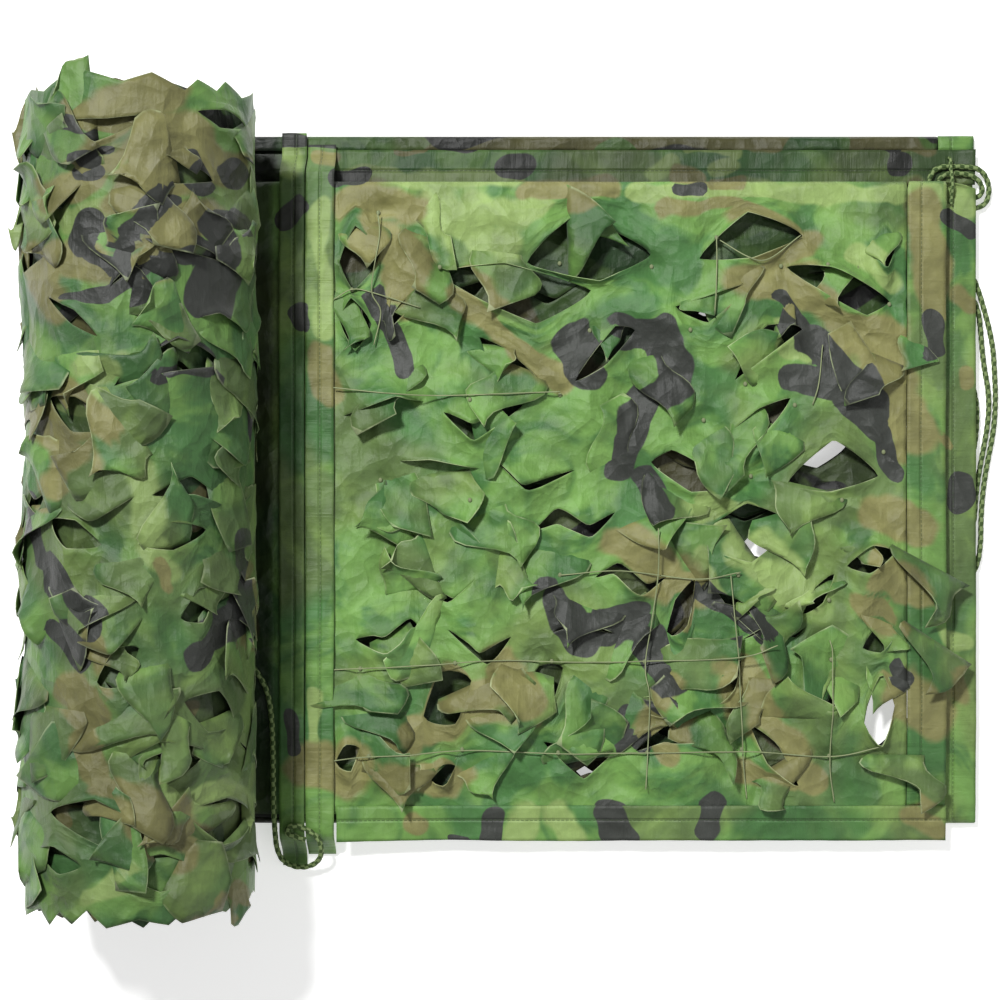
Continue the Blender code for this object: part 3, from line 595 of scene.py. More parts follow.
def shape_mesh(mesh, places, spread, values):
    """Moves a grid's vertices, and stores its spread-out places as UV and its values as attributes."""
    mesh.vertices.foreach_set("co", np.ascontiguousarray(places, dtype=np.float32).ravel())
    corner = np.empty(len(mesh.loops), dtype=np.int32)
    mesh.loops.foreach_get("vertex_index", corner)
    layer = mesh.uv_layers.new(name="UVMap")
    layer.data.foreach_set("uv", np.ascontiguousarray(spread[corner], dtype=np.float32).ravel())
    for name, value in values.items():
        attribute = mesh.attributes.new(name, "FLOAT", "POINT")
        attribute.data.foreach_set("value", np.ascontiguousarray(value, dtype=np.float32))
    mesh.update()


def add_piece(name, mesh, material, nodes=()):
    """Puts a finished mesh into the scene on the net's body."""
    item = bpy.data.objects.new(name, mesh)
    bpy.context.scene.collection.objects.link(item)
    mesh.materials.append(material)
    mesh.shade_smooth()
    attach(item, BODY)
    if nodes:
        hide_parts(*nodes)
    return item


def give_thickness(item, thickness):
    """A live thickness, half on each side."""
    modifier = item.modifiers.new("thickness", "SOLIDIFY")
    modifier.thickness = thickness
    modifier.offset = 0.0


# ================================================================ the leaf-cut pattern

SLIT_KINDS = {
    "gap": {"open": (0.012, 0.026), "above": (-0.30, 0.80), "below": (-0.20, 1.00)},
    "cut": {"open": (0.002, 0.007), "above": (-0.25, 0.80), "below": (-0.25, 0.95)},
    "lap": {"open": (-0.016, -0.006), "above": (0.55, 1.10), "below": (-0.30, -0.05)},
}
KIND_ORDER = tuple(SLIT_KINDS)


def facets_at(x, y, size, seed):
    """Height of a surface of flat triangles with slightly bent creases, between -1 and 1."""
    heights = np.random.default_rng(seed).uniform(-1, 1, (64, 64))
    bent_x = x + 0.22 * size * np.sin(y / size * 1.7 + seed)
    bent_y = y + 0.22 * size * np.sin(x / size * 1.3 + 2.0 * seed)
    across, along = bent_x / size + bent_y / (2 * size), bent_y / size
    column, row = np.floor(across).astype(int), np.floor(along).astype(int)
    a, b = across - column, along - row
    here = heights[column % 64, row % 64]
    right = heights[(column + 1) % 64, row % 64]
    back = heights[column % 64, (row + 1) % 64]
    far = heights[(column + 1) % 64, (row + 1) % 64]
    near_side = here + a * (right - here) + b * (back - here)
    far_side = far + (1 - a) * (back - far) + (1 - b) * (right - far)
    return np.where(a + b < 1, near_side, far_side)


def drawn_cut(draw):
    """The line of a cut: places of its corners along it, and their distances across it."""
    form = draw.choices(("point", "notch", "zigzag"), weights=(0.52, 0.16, 0.32))[0]
    corner, depth = draw.uniform(-0.4, 0.4), draw.uniform(0.012, 0.027)
    if form == "point":
        return corner, ((-1, corner, 1), (0, -depth, 0))
    if form == "notch":
        return corner, ((-1, corner, 1), (0, 0.6 * depth, 0))
    swing = 0.55 * depth * draw.choice((-1, 1))
    return corner, ((-1, corner - 0.4, corner + 0.4, 1), (0, swing, -swing, 0))


def drawn_slit(draw, row, middle, kind):
    """A slit whose form is drawn at random within its kind."""
    half = draw.randint(8, 10)
    opening, share = draw.uniform(*kind["open"]), draw.uniform(0.3, 0.7)
    slope = draw.uniform(-0.009, 0.009)
    corner, cut = drawn_cut(draw)
    return {
        "row": row, "first": middle - half, "last": middle + half,
        "chord": (-slope, slope), "cut": cut, "corner": corner,
        "rise": opening * share, "fall": opening * (1 - share),
        "rise_at": draw.uniform(-0.6, 0.6), "fall_at": draw.uniform(-0.6, 0.6),
        "above": (draw.uniform(*kind["above"]), draw.uniform(*kind["above"])),
        "below": (draw.uniform(*kind["below"]), draw.uniform(*kind["below"])),
        "slide": draw.uniform(-0.005, 0.005),
    }


def placed_slits(draw, gaps, plan):
    """Slits for gaps that are given by their corners in pixels."""
    slits = []
    for gap in gaps:
        corners = {name: plan["from_pixel"](*gap[name]) for name in GAP_CORNERS}
        (left_u, left_v), (right_u, right_v) = corners["left"], corners["right"]
        (top_u, top_v), (low_u, low_v) = corners["top"], corners["bottom"]
        middle = (left_v + right_v + top_v + low_v) / 4
        pitch = plan["line_step"] * ROW_LINES
        row_zero = plan["front"] + plan["first_line"] * plan["line_step"]
        row = round((middle - row_zero) / pitch)
        if not 0 <= row < plan["rows"]:
            continue
        row_v = row_zero + row * pitch
        first = round((left_u - plan["start"]) / plan["column_step"])
        last = max(first + 5, round((right_u - plan["start"]) / plan["column_step"]))
        last = min(last, plan["columns"] - 3)
        if first < plan["first_column"] - 1 or last < first + 5:
            continue

        def over_chord(u, v):
            share = (u - left_u) / max(1e-6, right_u - left_u)
            return v - left_v - (right_v - left_v) * share, 2 * share - 1

        rise, rise_at = over_chord(top_u, top_v)
        fall, fall_at = over_chord(low_u, low_v)
        slits.append({
            "row": row, "first": first, "last": last,
            "chord": (left_v - row_v, right_v - row_v),
            "cut": ((-1, 1), (0, 0)), "corner": 0.0,
            "rise": rise, "fall": -fall,
            "rise_at": min(0.85, max(-0.85, rise_at)), "fall_at": min(0.85, max(-0.85, fall_at)),
            "above": (draw.uniform(-0.2, 0.7), draw.uniform(-0.2, 0.7)),
            "below": (draw.uniform(-0.1, 0.8), draw.uniform(-0.1, 0.8)),
            "slide": 0.0,
        })
    return slits


def make_slits(draw, plan):
    """The placed slits, and drawn ones in staggered rows wherever none is placed."""
    slits = placed_slits(draw, plan["gaps"], plan)
    for row in range(plan["rows"]):
        centre = plan["first_column"] + UNIT_COLUMNS // 2 + (UNIT_COLUMNS // 2 if row % 2 else 0)
        while centre + 11 <= plan["columns"]:
            kind = SLIT_KINDS[draw.choices(KIND_ORDER, weights=plan["chances"](row, centre))[0]]
            slit = drawn_slit(draw, row, centre + draw.randint(-1, 1), kind)
            if has_room(slit, slits, 3):
                slits.append(slit)
            centre += UNIT_COLUMNS
    chosen = []
    for slit in slits:
        if has_room(slit, chosen, 1):
            chosen.append({**slit, "line": plan["first_line"] + slit["row"] * ROW_LINES})
    return chosen


def has_room(slit, others, columns):
    """Whether more than a number of columns lie between a slit and each other one in its row."""
    return all(
        slit["last"] + columns < other["first"] or slit["first"] > other["last"] + columns
        for other in others if other["row"] == slit["row"]
    )


def lip_line(t, corner, height, roundness):
    """A lip's distance from the slit's chord: straight to its corner and back, a little rounded."""
    straight = np.interp(t, (-1, corner, 1), (0, height, 0))
    rounded = height * np.clip(1 - t * t, 0, 1) ** 0.6
    return straight * (1 - roundness) + rounded * roundness


TABLE_NAMES = ("wave", "rise", "fall", "above", "below", "slide", "lip")


def slit_tables(slits, rows, columns, lift):
    """For each row line and column: the slit's own line, its opening, and its lips' lifts."""
    tables = {name: np.zeros((rows + 2, columns + 1)) for name in TABLE_NAMES}
    known = {row: [(0, 0.0), (columns, 0.0)] for row in range(rows)}
    for slit in slits:
        places = np.arange(slit["first"], slit["last"] + 1)
        t = 2 * (places - slit["first"]) / (slit["last"] - slit["first"]) - 1
        bent = np.interp(t, *slit["cut"])
        bent[1:-1] = (bent[:-2] + 3 * bent[1:-1] + bent[2:]) / 5
        left, right = (1 - t) / 2, (1 + t) / 2
        wave = slit["chord"][0] * left + slit["chord"][1] * right + bent
        pointed = np.interp(t, (-1, slit["corner"], 1), (0, 1, 0))
        bump = (pointed + np.clip(1 - t * t, 0, 1)) / 2
        line = slit["row"] + 1
        tables["rise"][line, places] = lip_line(t, slit["rise_at"], slit["rise"], 0.3)
        tables["fall"][line, places] = lip_line(t, slit["fall_at"], slit["fall"], 0.3)
        tables["above"][line, places] = lift * bump * (left * slit["above"][0] + right * slit["above"][1])
        tables["below"][line, places] = lift * bump * (left * slit["below"][0] + right * slit["below"][1])
        tables["slide"][line, places] = slit["slide"] * bump
        tables["lip"][line, places] = bump > 0
        known[slit["row"]] += list(zip(places.tolist(), wave.tolist()))
    every = np.arange(columns + 1)
    for row, points in known.items():
        points.sort()
        tables["wave"][row + 1] = np.interp(every, [p[0] for p in points], [p[1] for p in points])
    return tables


def strip_values(tables, column, row, side, first_line):
    """Where each vertex lies between its lower and its upper row line, with their table values."""
    places = (row - first_line) / ROW_LINES
    strip = np.floor(places + 1e-6).astype(int)
    share = places - strip
    on_lower_lip = (side < 0) & (share < 0.02)
    strip = np.where(on_lower_lip, strip - 1, strip)
    share = np.clip(np.where(on_lower_lip, 1.0, share), 0.0, 1.0)
    column = np.rint(column).astype(int)
    last = tables["wave"].shape[0] - 1
    lower = {name: table[np.clip(strip + 1, 0, last), column] for name, table in tables.items()}
    upper = {name: table[np.clip(strip + 2, 0, last), column] for name, table in tables.items()}
    return share, lower, upper


def leaf_moves(share, lower, upper):
    """Moves across and along the rows, lift, and closeness to a cut edge, for each vertex."""
    near_low, near_high = 1 - share, share
    flat_shift = near_low * lower["wave"] + near_high * upper["wave"]
    opened = lower["rise"] * near_low ** 1.25 - upper["fall"] * near_high ** 1.25
    slide = lower["slide"] * near_low ** 2 - upper["slide"] * near_high ** 2
    curl = 1.0 + 0.35 * np.clip(1 - np.minimum(near_low, near_high) * 5, 0, 1)
    lift = (lower["above"] * near_low ** 1.8 + upper["below"] * near_high ** 1.8) * curl
    edge = np.maximum(lower["lip"] * (near_low > 0.999), upper["lip"] * (near_high > 0.999))
    return flat_shift, opened, slide, lift, edge


# ================================================================ the run's layers

def layer_base(layer, x, y):
    """Height of a layer of the run, as its solid has it."""
    squeeze = SQUEEZE + (1 - SQUEEZE) * soft_step(SQUEEZED_END, FULL_HEIGHT_X, x)
    height = LAYER_Z[0] + (LAYER_Z[layer] - LAYER_Z[0]) * squeeze
    blend = soft_step(LEAF_START, LEAF_START + CREASE_BLEND, x)
    height = height + CREASE_HEIGHT[layer] * noise_at(x, y, CREASE_SCALE, 4.0 * layer + 1.3) * blend
    if layer == 2:
        height = height - FRONT_DROOP * blend * (1 - soft_step(FRONT_TAPE_Y[0], DROOP_START_Y, y))
    return height


# Each layer's shade value darkens its colour: painted shade, strong on the two lower layers, which lie in
# the shade of the top one.
RUN_LAYERS = {
    "run_top": {
        "layer": 2, "front": FRONT_TAPE_Y[1], "back": TOP_FOLD_Y, "end": TOP_CLOTH_END,
        "lines": 154, "first_line": 15, "rows": 10, "before": 2, "after": 6,
        "lift": 1.0, "facet": 0.0070, "sway": 1.0, "mottle_and_painted_shade": 1.0, "seed": 3,
    },
    "run_middle": {
        "layer": 1, "front": FRONT_FOLD_Y, "back": TOP_FOLD_Y, "end": LOW_CLOTH_END,
        "lines": 158, "first_line": 9, "rows": 11, "before": 0, "after": 0,
        "lift": 0.25, "facet": 0.0028, "sway": 0.5, "mottle_and_painted_shade": 0.24, "seed": 11,
    },
    "run_low": {
        "layer": 0, "front": FRONT_FOLD_Y, "back": BACK_FOLD_Y, "end": LOW_CLOTH_END,
        "lines": 171, "first_line": 15, "rows": 10, "before": 5, "after": 5,
        "lift": 0.0, "facet": 0.0, "sway": 0.0, "mottle_and_painted_shade": 0.28, "seed": 19,
    },
}
RUN_COLUMNS = 186
FACET_SIZE = 0.046
CALM_RIM = 0.03


def run_from_pixel(stage):
    """The place on the top layer that the camera sees at a pixel."""
    per_pixel = stage.field / 1000 * (1 - LAYER_Z[2] / stage.height)
    return lambda px, py: ((px - 500) * per_pixel + stage.centre_x, (500 - py) * per_pixel)


def run_top_chances(row, column):
    """More open gaps at the back of the top layer, more closed cuts and laps at the front."""
    if row >= 5:
        return (0.40, 0.30, 0.30)
    if column > 150:
        return (0.50, 0.25, 0.25)
    return (0.66, 0.20, 0.14)


def low_chances(row, column):
    """The same mix of gaps, cuts and laps all over the lower layers."""
    return (0.42, 0.25, 0.33)


def run_relief(layer, x, y, facet, sway):
    """Facets and small creases that a layer of the run has over its solid's soft form."""
    blend = soft_step(LEAF_START, LEAF_START + CREASE_BLEND, x)
    calm = soft_step(FRONT_TAPE_Y[1], FRONT_TAPE_Y[1] + CALM_RIM, y)
    calm = calm * (1 - soft_step(TOP_FOLD_Y - CALM_RIM, TOP_FOLD_Y, y))
    calm = calm * (1 - soft_step(TOP_CLOTH_END - CALM_RIM, TOP_CLOTH_END, x))
    folds = facet * facets_at(x, y, FACET_SIZE, 5 + layer)
    rumple = 0.0012 * noise_at(x, y, 31.0, 2.2 + layer) + 0.0009 * ridges_at(x, y, 17.0, 5.1 + layer)
    return (folds + sway * rumple) * blend * calm


def tie_dimples(x, y, from_pixel):
    """Dimples with creases that spread from them, where the cloth is tied to the twine."""
    height = np.zeros_like(x)
    for index, place in enumerate(TIES):
        tie_x, tie_y = from_pixel(*place)
        apart, turn = np.hypot(x - tie_x, y - tie_y), np.arctan2(y - tie_y, x - tie_x)
        height -= TIE_DEPTH * np.exp(-(apart / TIE_WIDTH) ** 2)
        spokes = 1 - 2 * np.abs(np.sin((1.5 + 0.5 * (index % 3)) * turn + index))
        fade = apart / TIE_CREASES[1] * np.exp(-(apart / TIE_CREASES[1]) ** 2)
        height += TIE_CREASES[0] * spokes * fade
    return height


def run_place(plan):
    """The way a layer of the run is laid: round its folds, with its facets."""
    layer = plan["layer"]

    def place(x, v, height):
        y, z = v.copy(), layer_base(layer, x, v)
        z = z + run_relief(layer, x, v, plan["facet"], plan["sway"]) + height
        if layer == 2:
            z = z + tie_dimples(x, v, plan["from_pixel"])
            over = np.clip((v - TOP_FOLD_Y) / FOLD_RADIUS, 0, math.pi)
            beneath = layer_base(1, x, v)
            y = np.where(over > 0, TOP_FOLD_Y + FOLD_RADIUS * np.sin(over), y)
            z = z - (z - beneath) * (1 - np.cos(over)) / 2
        if layer == 0:
            front = np.clip((FRONT_FOLD_Y - v) / FRONT_FOLD_RADIUS, 0, math.pi)
            above = layer_base(1, x, v)
            y = np.where(front > 0, FRONT_FOLD_Y - FRONT_FOLD_RADIUS * np.sin(front), y)
            z = z + (above - z) * (1 - np.cos(front)) / 2
            over = np.clip((v - BACK_FOLD_Y) / MARGIN_RADIUS, 0, math.pi)
            returned = np.maximum(0, v - BACK_FOLD_Y - math.pi * MARGIN_RADIUS)
            turned = BACK_FOLD_Y + MARGIN_RADIUS * np.sin(over) - returned
            y = np.where(over > 0, turned, y)
            z = z + (MARGIN_Z - z) * (1 - np.cos(over)) / 2
        return x, y, np.maximum(z, FLOOR_CLEARANCE)

    return place


def build_leaf_sheet(name, plan, place, stage, material, nodes, lift, thickness):
    """A leaf-cut sheet: its slits are cut, opened and lifted, and place() lays it."""
    columns, lines = plan["columns"], plan["lines"]
    all_lines = plan["before"] + lines + plan["after"]
    tables = slit_tables(plan["slits"], plan["rows"], columns, lift)
    work = new_grid(columns, all_lines)
    bmesh.ops.translate(work, vec=(0, -plan["before"], 0), verts=work.verts)
    cut_slits(work, plan["slits"])
    mesh = finished_mesh(name, work)

    column, row, side = grid_values(mesh)
    share, lower, upper = strip_values(tables, column, row, side, plan["first_line"])
    flat_shift, opened, slide, up, edge = leaf_moves(share, lower, upper)
    inside = soft_step(0, 5, row) * soft_step(0, 5, lines - row)
    flat_u = plan["start"] + plan["column_step"] * column
    flat_v = plan["front"] + plan["line_step"] * row
    flat_v = flat_v + flat_shift * inside
    if "ragged" in plan:
        flat_v = flat_v + plan["ragged"](column, row)
        at_end = (row < -plan["before"] + 0.5) | (row > lines + plan["after"] - 0.5)
        edge = np.maximum(edge, at_end)
    u, v = flat_u + slide * inside, flat_v + opened * inside
    places = np.column_stack(place(u, v, up * inside))
    spread = np.column_stack((flat_u, flat_v))
    printed = np.column_stack(place(flat_u, flat_v, np.zeros_like(flat_u)))
    values = print_values(printed, stage, plan["laid"](places))
    values["edge"] = edge
    values["mottle_and_painted_shade"] = plan["painted_shade_at"](places)
    shape_mesh(mesh, places, spread, values)
    item = add_piece(name, mesh, material, nodes)
    give_thickness(item, thickness)


def run_plan(name, stage):
    """The grid, the slits and the print of a layer of the run."""
    layout = RUN_LAYERS[name]
    top = layout["layer"] == 2
    mottle_and_painted_shade = layout["mottle_and_painted_shade"]
    plan = {
        **layout,
        "columns": RUN_COLUMNS,
        "start": RUN_START,
        "column_step": (layout["end"] - RUN_START) / RUN_COLUMNS,
        "line_step": (layout["back"] - layout["front"]) / layout["lines"],
        "first_column": 44,
        "clear": 0.019,
        "lip_share": 0.6,
        "gaps": RUN_GAPS if top else THROUGH_GAPS,
        "from_pixel": run_from_pixel(stage),
        "chances": run_top_chances if top else low_chances,
        "laid": lambda places: np.full(len(places), 1.0 if top else 0.0),
        # Next to the roll the colour falls to 0.15 of itself: a painted shadow under the roll's overhang.
        "painted_shade_at": lambda places: mottle_and_painted_shade * (0.15 + 0.85 * soft_step(-0.226, -0.212, places[:, 0])),
    }
    plan["slits"] = make_slits(random.Random(stage.seed + layout["seed"]), plan)
    return plan


def print_values(places, stage, laid, shift_across=0.0, shift_down=0.0):
    """The inks' fields of a piece: laid strokes where laid is 1, free print where it is 0."""
    across, down = to_pixels(places, stage)
    values = ink_fields(across + shift_across, down + shift_down)
    for ink in INKS:
        values[ink] = values[ink] * laid - (1 - laid)
    values["free"] = 1 - laid
    return values


# ================================================================ the roll

ROLL_COLUMNS = 181
ROLL_LINES = 182
ROLL_MARGIN = 6
ROLL_SMOOTH = (0.050, 0.180)
POCKET_DEPTH = 0.09
UNDER_TURN_INSET = 0.0075

# Turns of the roll that the camera sees, in degrees, and the heights between which the laid print
# gives way to the free print below
SEEN_TURN = (92, 262)
PRINT_HEIGHTS = (0.085, 0.105)

# The strip of turn edges at each end of the roll
END_TURNS = 6.2
END_STEP = 0.006
END_LINES = 7
END_START = ROLL_RADIUS - 0.0062


def wound_radius(turn):
    """Radius of the wound cloth, which the stack of its turns makes smaller as it goes in."""
    return ROLL_RADIUS - STACK * turn / (2 * math.pi)


def on_roll(turn, radius):
    """X and height of places on the roll, by their turn from its lowest line and their radius."""
    return ROLL_AXIS_X - radius * np.sin(turn), ROLL_AXIS_Z - radius * np.cos(turn)


def pocket_share(turn, blend):
    """1 in the pocket at the roll's back end, with a soft step to 0 at both its sides."""
    low, high = (math.radians(angle) for angle in POCKET_TURN)
    return soft_step(low, low + blend, turn) * (1 - soft_step(high - blend, high, turn))


def roll_places(inset):
    """The way a sheet is wound on the roll, by how far it lies in from the outer turn."""
    def place(u, v, height):
        turn = u / ROLL_RADIUS
        radius = wound_radius(turn) - inset
        level = on_roll(turn, radius)[1]
        folds = 0.0030 * facets_at(u, v, FACET_SIZE, 23) + 0.0011 * noise_at(u, v, 30.0, 7.7)
        loose = soft_step(*ROLL_SMOOTH, level)
        raised = folds * loose + height * loose
        if inset == 0:
            pocket = pocket_share(turn, 0.35) * soft_step(ROLL_HALF - POCKET_DEPTH, ROLL_HALF, v)
            raised = raised + POCKET_BULGE * pocket
        x, z = on_roll(turn, radius + raised)
        return x, v, np.maximum(z, FLOOR_CLEARANCE)

    return place


def roll_from_pixel(stage):
    """The place on the wound cloth that the camera sees at a pixel."""
    turns = np.radians(np.linspace(*SEEN_TURN, 120))
    x, z = on_roll(turns, wound_radius(turns))
    across, _ = to_pixels(np.column_stack((x, np.zeros_like(x), z)), stage)

    def from_pixel(px, py):
        turn = float(np.interp(px, across, turns))
        level = float(np.interp(px, across, z))
        per_pixel = stage.field / 1000 * (1 - level / stage.height)
        return turn * ROLL_RADIUS, (500 - py) * per_pixel

    return from_pixel


def ragged_ends(draw):
    """Leaf tips along both ends of a wound sheet: how far each column's end stands out."""
    ends = []
    for _ in range(2):
        places, reaches = [0], [0.004]
        while places[-1] < ROLL_COLUMNS:
            places.append(places[-1] + draw.randint(3, 9))
            out = len(places) % 2 == 0
            reaches.append(draw.uniform(0.006, 0.018) if out else draw.uniform(-0.012, 0.002))
        ends.append((places, reaches))

    def ragged(column, row):
        front = np.interp(column, *ends[0]) * np.clip((3 - row) / (3 + ROLL_MARGIN), 0, 1)
        back = np.interp(column, *ends[1]) * np.clip((row - ROLL_LINES + 3) / (3 + ROLL_MARGIN), 0, 1)
        return back - front

    return ragged


def laid_on_roll(places):
    """1 where the roll has the laid print, and 0 on its lower half."""
    return soft_step(*PRINT_HEIGHTS, places[:, 2])


def roll_plan(inset, mottle_and_painted_shade, seed, stage):
    """The grid, the slits and the print of one turn of the wound cloth."""
    draw = random.Random(stage.seed + seed)
    plan = {
        "columns": ROLL_COLUMNS, "lines": ROLL_LINES, "before": 2, "after": 2,
        "first_line": 7, "rows": 13, "first_column": 1,
        "start": 0.0, "column_step": 2 * math.pi * ROLL_RADIUS / ROLL_COLUMNS,
        "front": -ROLL_HALF, "line_step": 2 * ROLL_HALF / ROLL_LINES,
        "gaps": ROLL_GAPS if inset == 0 else [],
        "clear": 0.015,
        "lip_share": 0.3,
        "from_pixel": roll_from_pixel(stage),
        "chances": lambda row, column: (0.16, 0.30, 0.54),
        "ragged": ragged_ends(draw),
        "laid": lambda places: laid_on_roll(places) * (1.0 if inset == 0 else 0.0),
        "painted_shade_at": lambda places: np.full(len(places), mottle_and_painted_shade),
    }
    plan["slits"] = make_slits(draw, plan)
    return plan


def build_turn_ends(name, side, material, stage, sizes):
    """The edges of the inner turns at one end of the roll: a spiral strip with a ragged rim."""
    draw = random.Random(stage.seed + 40 + side)
    columns = round(END_TURNS * 2 * math.pi * (END_START - STACK * END_TURNS / 2) / END_STEP)
    mesh = finished_mesh(name, new_grid(columns, END_LINES))
    column, row, _ = grid_values(mesh)
    dense = np.linspace(0, END_TURNS * 2 * math.pi, 2000)
    radii = end_radius(dense)
    travelled = np.concatenate(([0], np.cumsum((radii[1:] + radii[:-1]) / 2 * np.diff(dense))))
    turn = np.interp(column / columns * travelled[-1], travelled, dense)
    rim = [
        draw.uniform(-0.006, 0.010) if index % 2 else draw.uniform(-0.014, -0.004)
        for index in range(columns)
    ]
    reach = np.interp(column, np.arange(0, columns * 3, 3)[:columns], rim)
    if side > 0:
        reach = reach - 0.022 * pocket_share(turn % (2 * math.pi), 0.3)
    radius = end_radius(turn) + 0.0016 * noise_at(turn, row * 0.1, 1.7, 3.3)
    y = side * (ROLL_HALF + reach * (row / END_LINES) - (END_LINES - row) * END_STEP)
    x, z = on_roll(turn, radius)
    places = np.column_stack((x, y, np.maximum(z, 0.004)))
    spread = np.column_stack((column * END_STEP, y))
    values = print_values(places, stage, np.zeros(len(places)))
    values["edge"] = (row > END_LINES - 0.5) * 1.0
    # Painted shade: the edges of the inner turns are darkened to 0.6.
    values["mottle_and_painted_shade"] = np.full(len(places), 0.6)
    shape_mesh(mesh, places, spread, values)
    item = add_piece(name, mesh, material, ["net_roll"])
    give_thickness(item, sizes.cloth)


def end_radius(turn):
    """Radius of the strip of turn edges: two edges for each turn of the cloth."""
    return END_START - STACK / 2 * turn / (2 * math.pi)


# ================================================================ leaf tongues

LEAF_FULLNESS = 0.20
LEAF_SWING = -0.42
TAPE_STEP = 0.0030
SIDE_LEAF_ROOT = 0.006
SHIFT_NAMES = ("shift_across", "shift_down")
OWN_INKS = (*INKS, "green")


def tongue_mesh(name, tongues):
    """Many leaf tongues in one mesh, each a small grid: flat places, with heights as Z."""
    work = bmesh.new()
    edge = work.verts.layers.float.new("edge")
    inks = {ink: work.verts.layers.float.new(f"own_{ink}") for ink in OWN_INKS}
    shifts = [work.verts.layers.float.new(key) for key in SHIFT_NAMES]
    tone_and_painted_tilt_shade = work.verts.layers.float.new("tone_and_painted_tilt_shade")
    for tongue in tongues:
        grid = bmesh.ops.create_grid(work, x_segments=6, y_segments=8, size=0.5)
        cosine, sine = math.cos(tongue["angle"]), math.sin(tongue["angle"])
        for vertex in grid["verts"]:
            across, along = 2 * vertex.co.x, vertex.co.y + 0.5
            spread = np.interp(along, (0, tongue["shoulder"], 1), (tongue["base"], 1.0, tongue["tip"]))
            full = 1 + LEAF_FULLNESS * math.sin(math.pi * along)
            swing = along + LEAF_SWING * math.sin(2 * math.pi * along)
            aside = tongue["width"] / 2 * spread * full * across + tongue["skew"] * swing
            forth = tongue["length"] * along + tongue["slant"] * across * along
            sunk = -0.004 * max(0.0, 1 - along / 0.2)
            bend = tongue["tilt"] * across * along - 0.002 * tongue["ridge"] * (1 - abs(across)) * along
            height = tongue["level"] + sunk + tongue["rise"] * along ** 1.4 + bend
            vertex[edge] = 1.0 if along > 0.12 and (abs(across) > 0.99 or along > 0.99) else 0.0
            if "ink" in tongue:
                vertex[inks[tongue["ink"]]] = 1.0
            for layer, shift in zip(shifts, tongue["print_shift"]):
                vertex[layer] = shift
            vertex[tone_and_painted_tilt_shade] = tongue["tone_and_painted_tilt_shade"]
            if "stand" in tongue:
                vertex.co = (
                    tongue["u"] + tongue["stand"] * along ** 2,
                    tongue["v"] + aside,
                    forth - SIDE_LEAF_ROOT,
                )
            else:
                vertex.co = (
                    tongue["u"] + cosine * forth - sine * aside,
                    tongue["v"] + sine * forth + cosine * aside,
                    height,
                )
    return finished_mesh(name, work)


TONGUE_FORMS = {
    "point": {"length": (0.034, 0.050), "width": (0.056, 0.080), "base": 1.15, "tips": (0.02, 0.06, 0.14)},
    "shield": {"length": (0.040, 0.062), "width": (0.042, 0.064), "base": 0.9, "tips": (0.04, 0.2, 0.4)},
    "strap": {"length": (0.048, 0.076), "width": (0.030, 0.046), "base": 1.0, "tips": (0.7, 0.85, 1.0)},
}


def drawn_tongue(draw, u, v, heading, rise, level, weights):
    """A tongue with a form drawn at random, and roughly the heading that is given in degrees."""
    form = TONGUE_FORMS[draw.choices(tuple(TONGUE_FORMS), weights=weights)[0]]
    return {
        "u": u, "v": v,
        "angle": math.radians(heading + draw.uniform(-36, 36)),
        "length": draw.uniform(*form["length"]), "width": draw.uniform(*form["width"]),
        "base": form["base"], "shoulder": draw.choice((0.125, 0.25, 0.5)), "tip": draw.choice(form["tips"]),
        "skew": draw.uniform(-0.024, 0.024), "slant": draw.uniform(-0.012, 0.012),
        "level": level, "rise": rise * draw.uniform(0.30, 0.95), "tilt": draw.uniform(-0.0065, 0.0065),
        # a brightness drawn for each leaf: painted shade and highlight in place of its tilt to the light
        "tone_and_painted_tilt_shade": draw.uniform(0.78, 1.16),
        "ridge": draw.uniform(-1.5, 1.5),
        "print_shift": (draw.uniform(-12, 12), draw.uniform(-12, 12)),
    }


def lip_leaf(draw, top, low, lift, weights):
    """A blunt leaf that hangs from a gap's upper lip and covers a part of the gap."""
    heading = math.degrees(math.atan2(low[1] - top[1], low[0] - top[0]))
    root = (top[0] + draw.uniform(-0.014, 0.014), top[1] + 0.005)
    leaf = drawn_tongue(draw, *root, heading, lift, 0.0008, weights)
    leaf["length"] = 0.006 + math.dist(top, low) * draw.uniform(0.40, 0.85)
    leaf["width"] = draw.uniform(0.024, 0.042)
    leaf["tip"] = draw.choice((0.15, 0.5, 0.8))
    return leaf


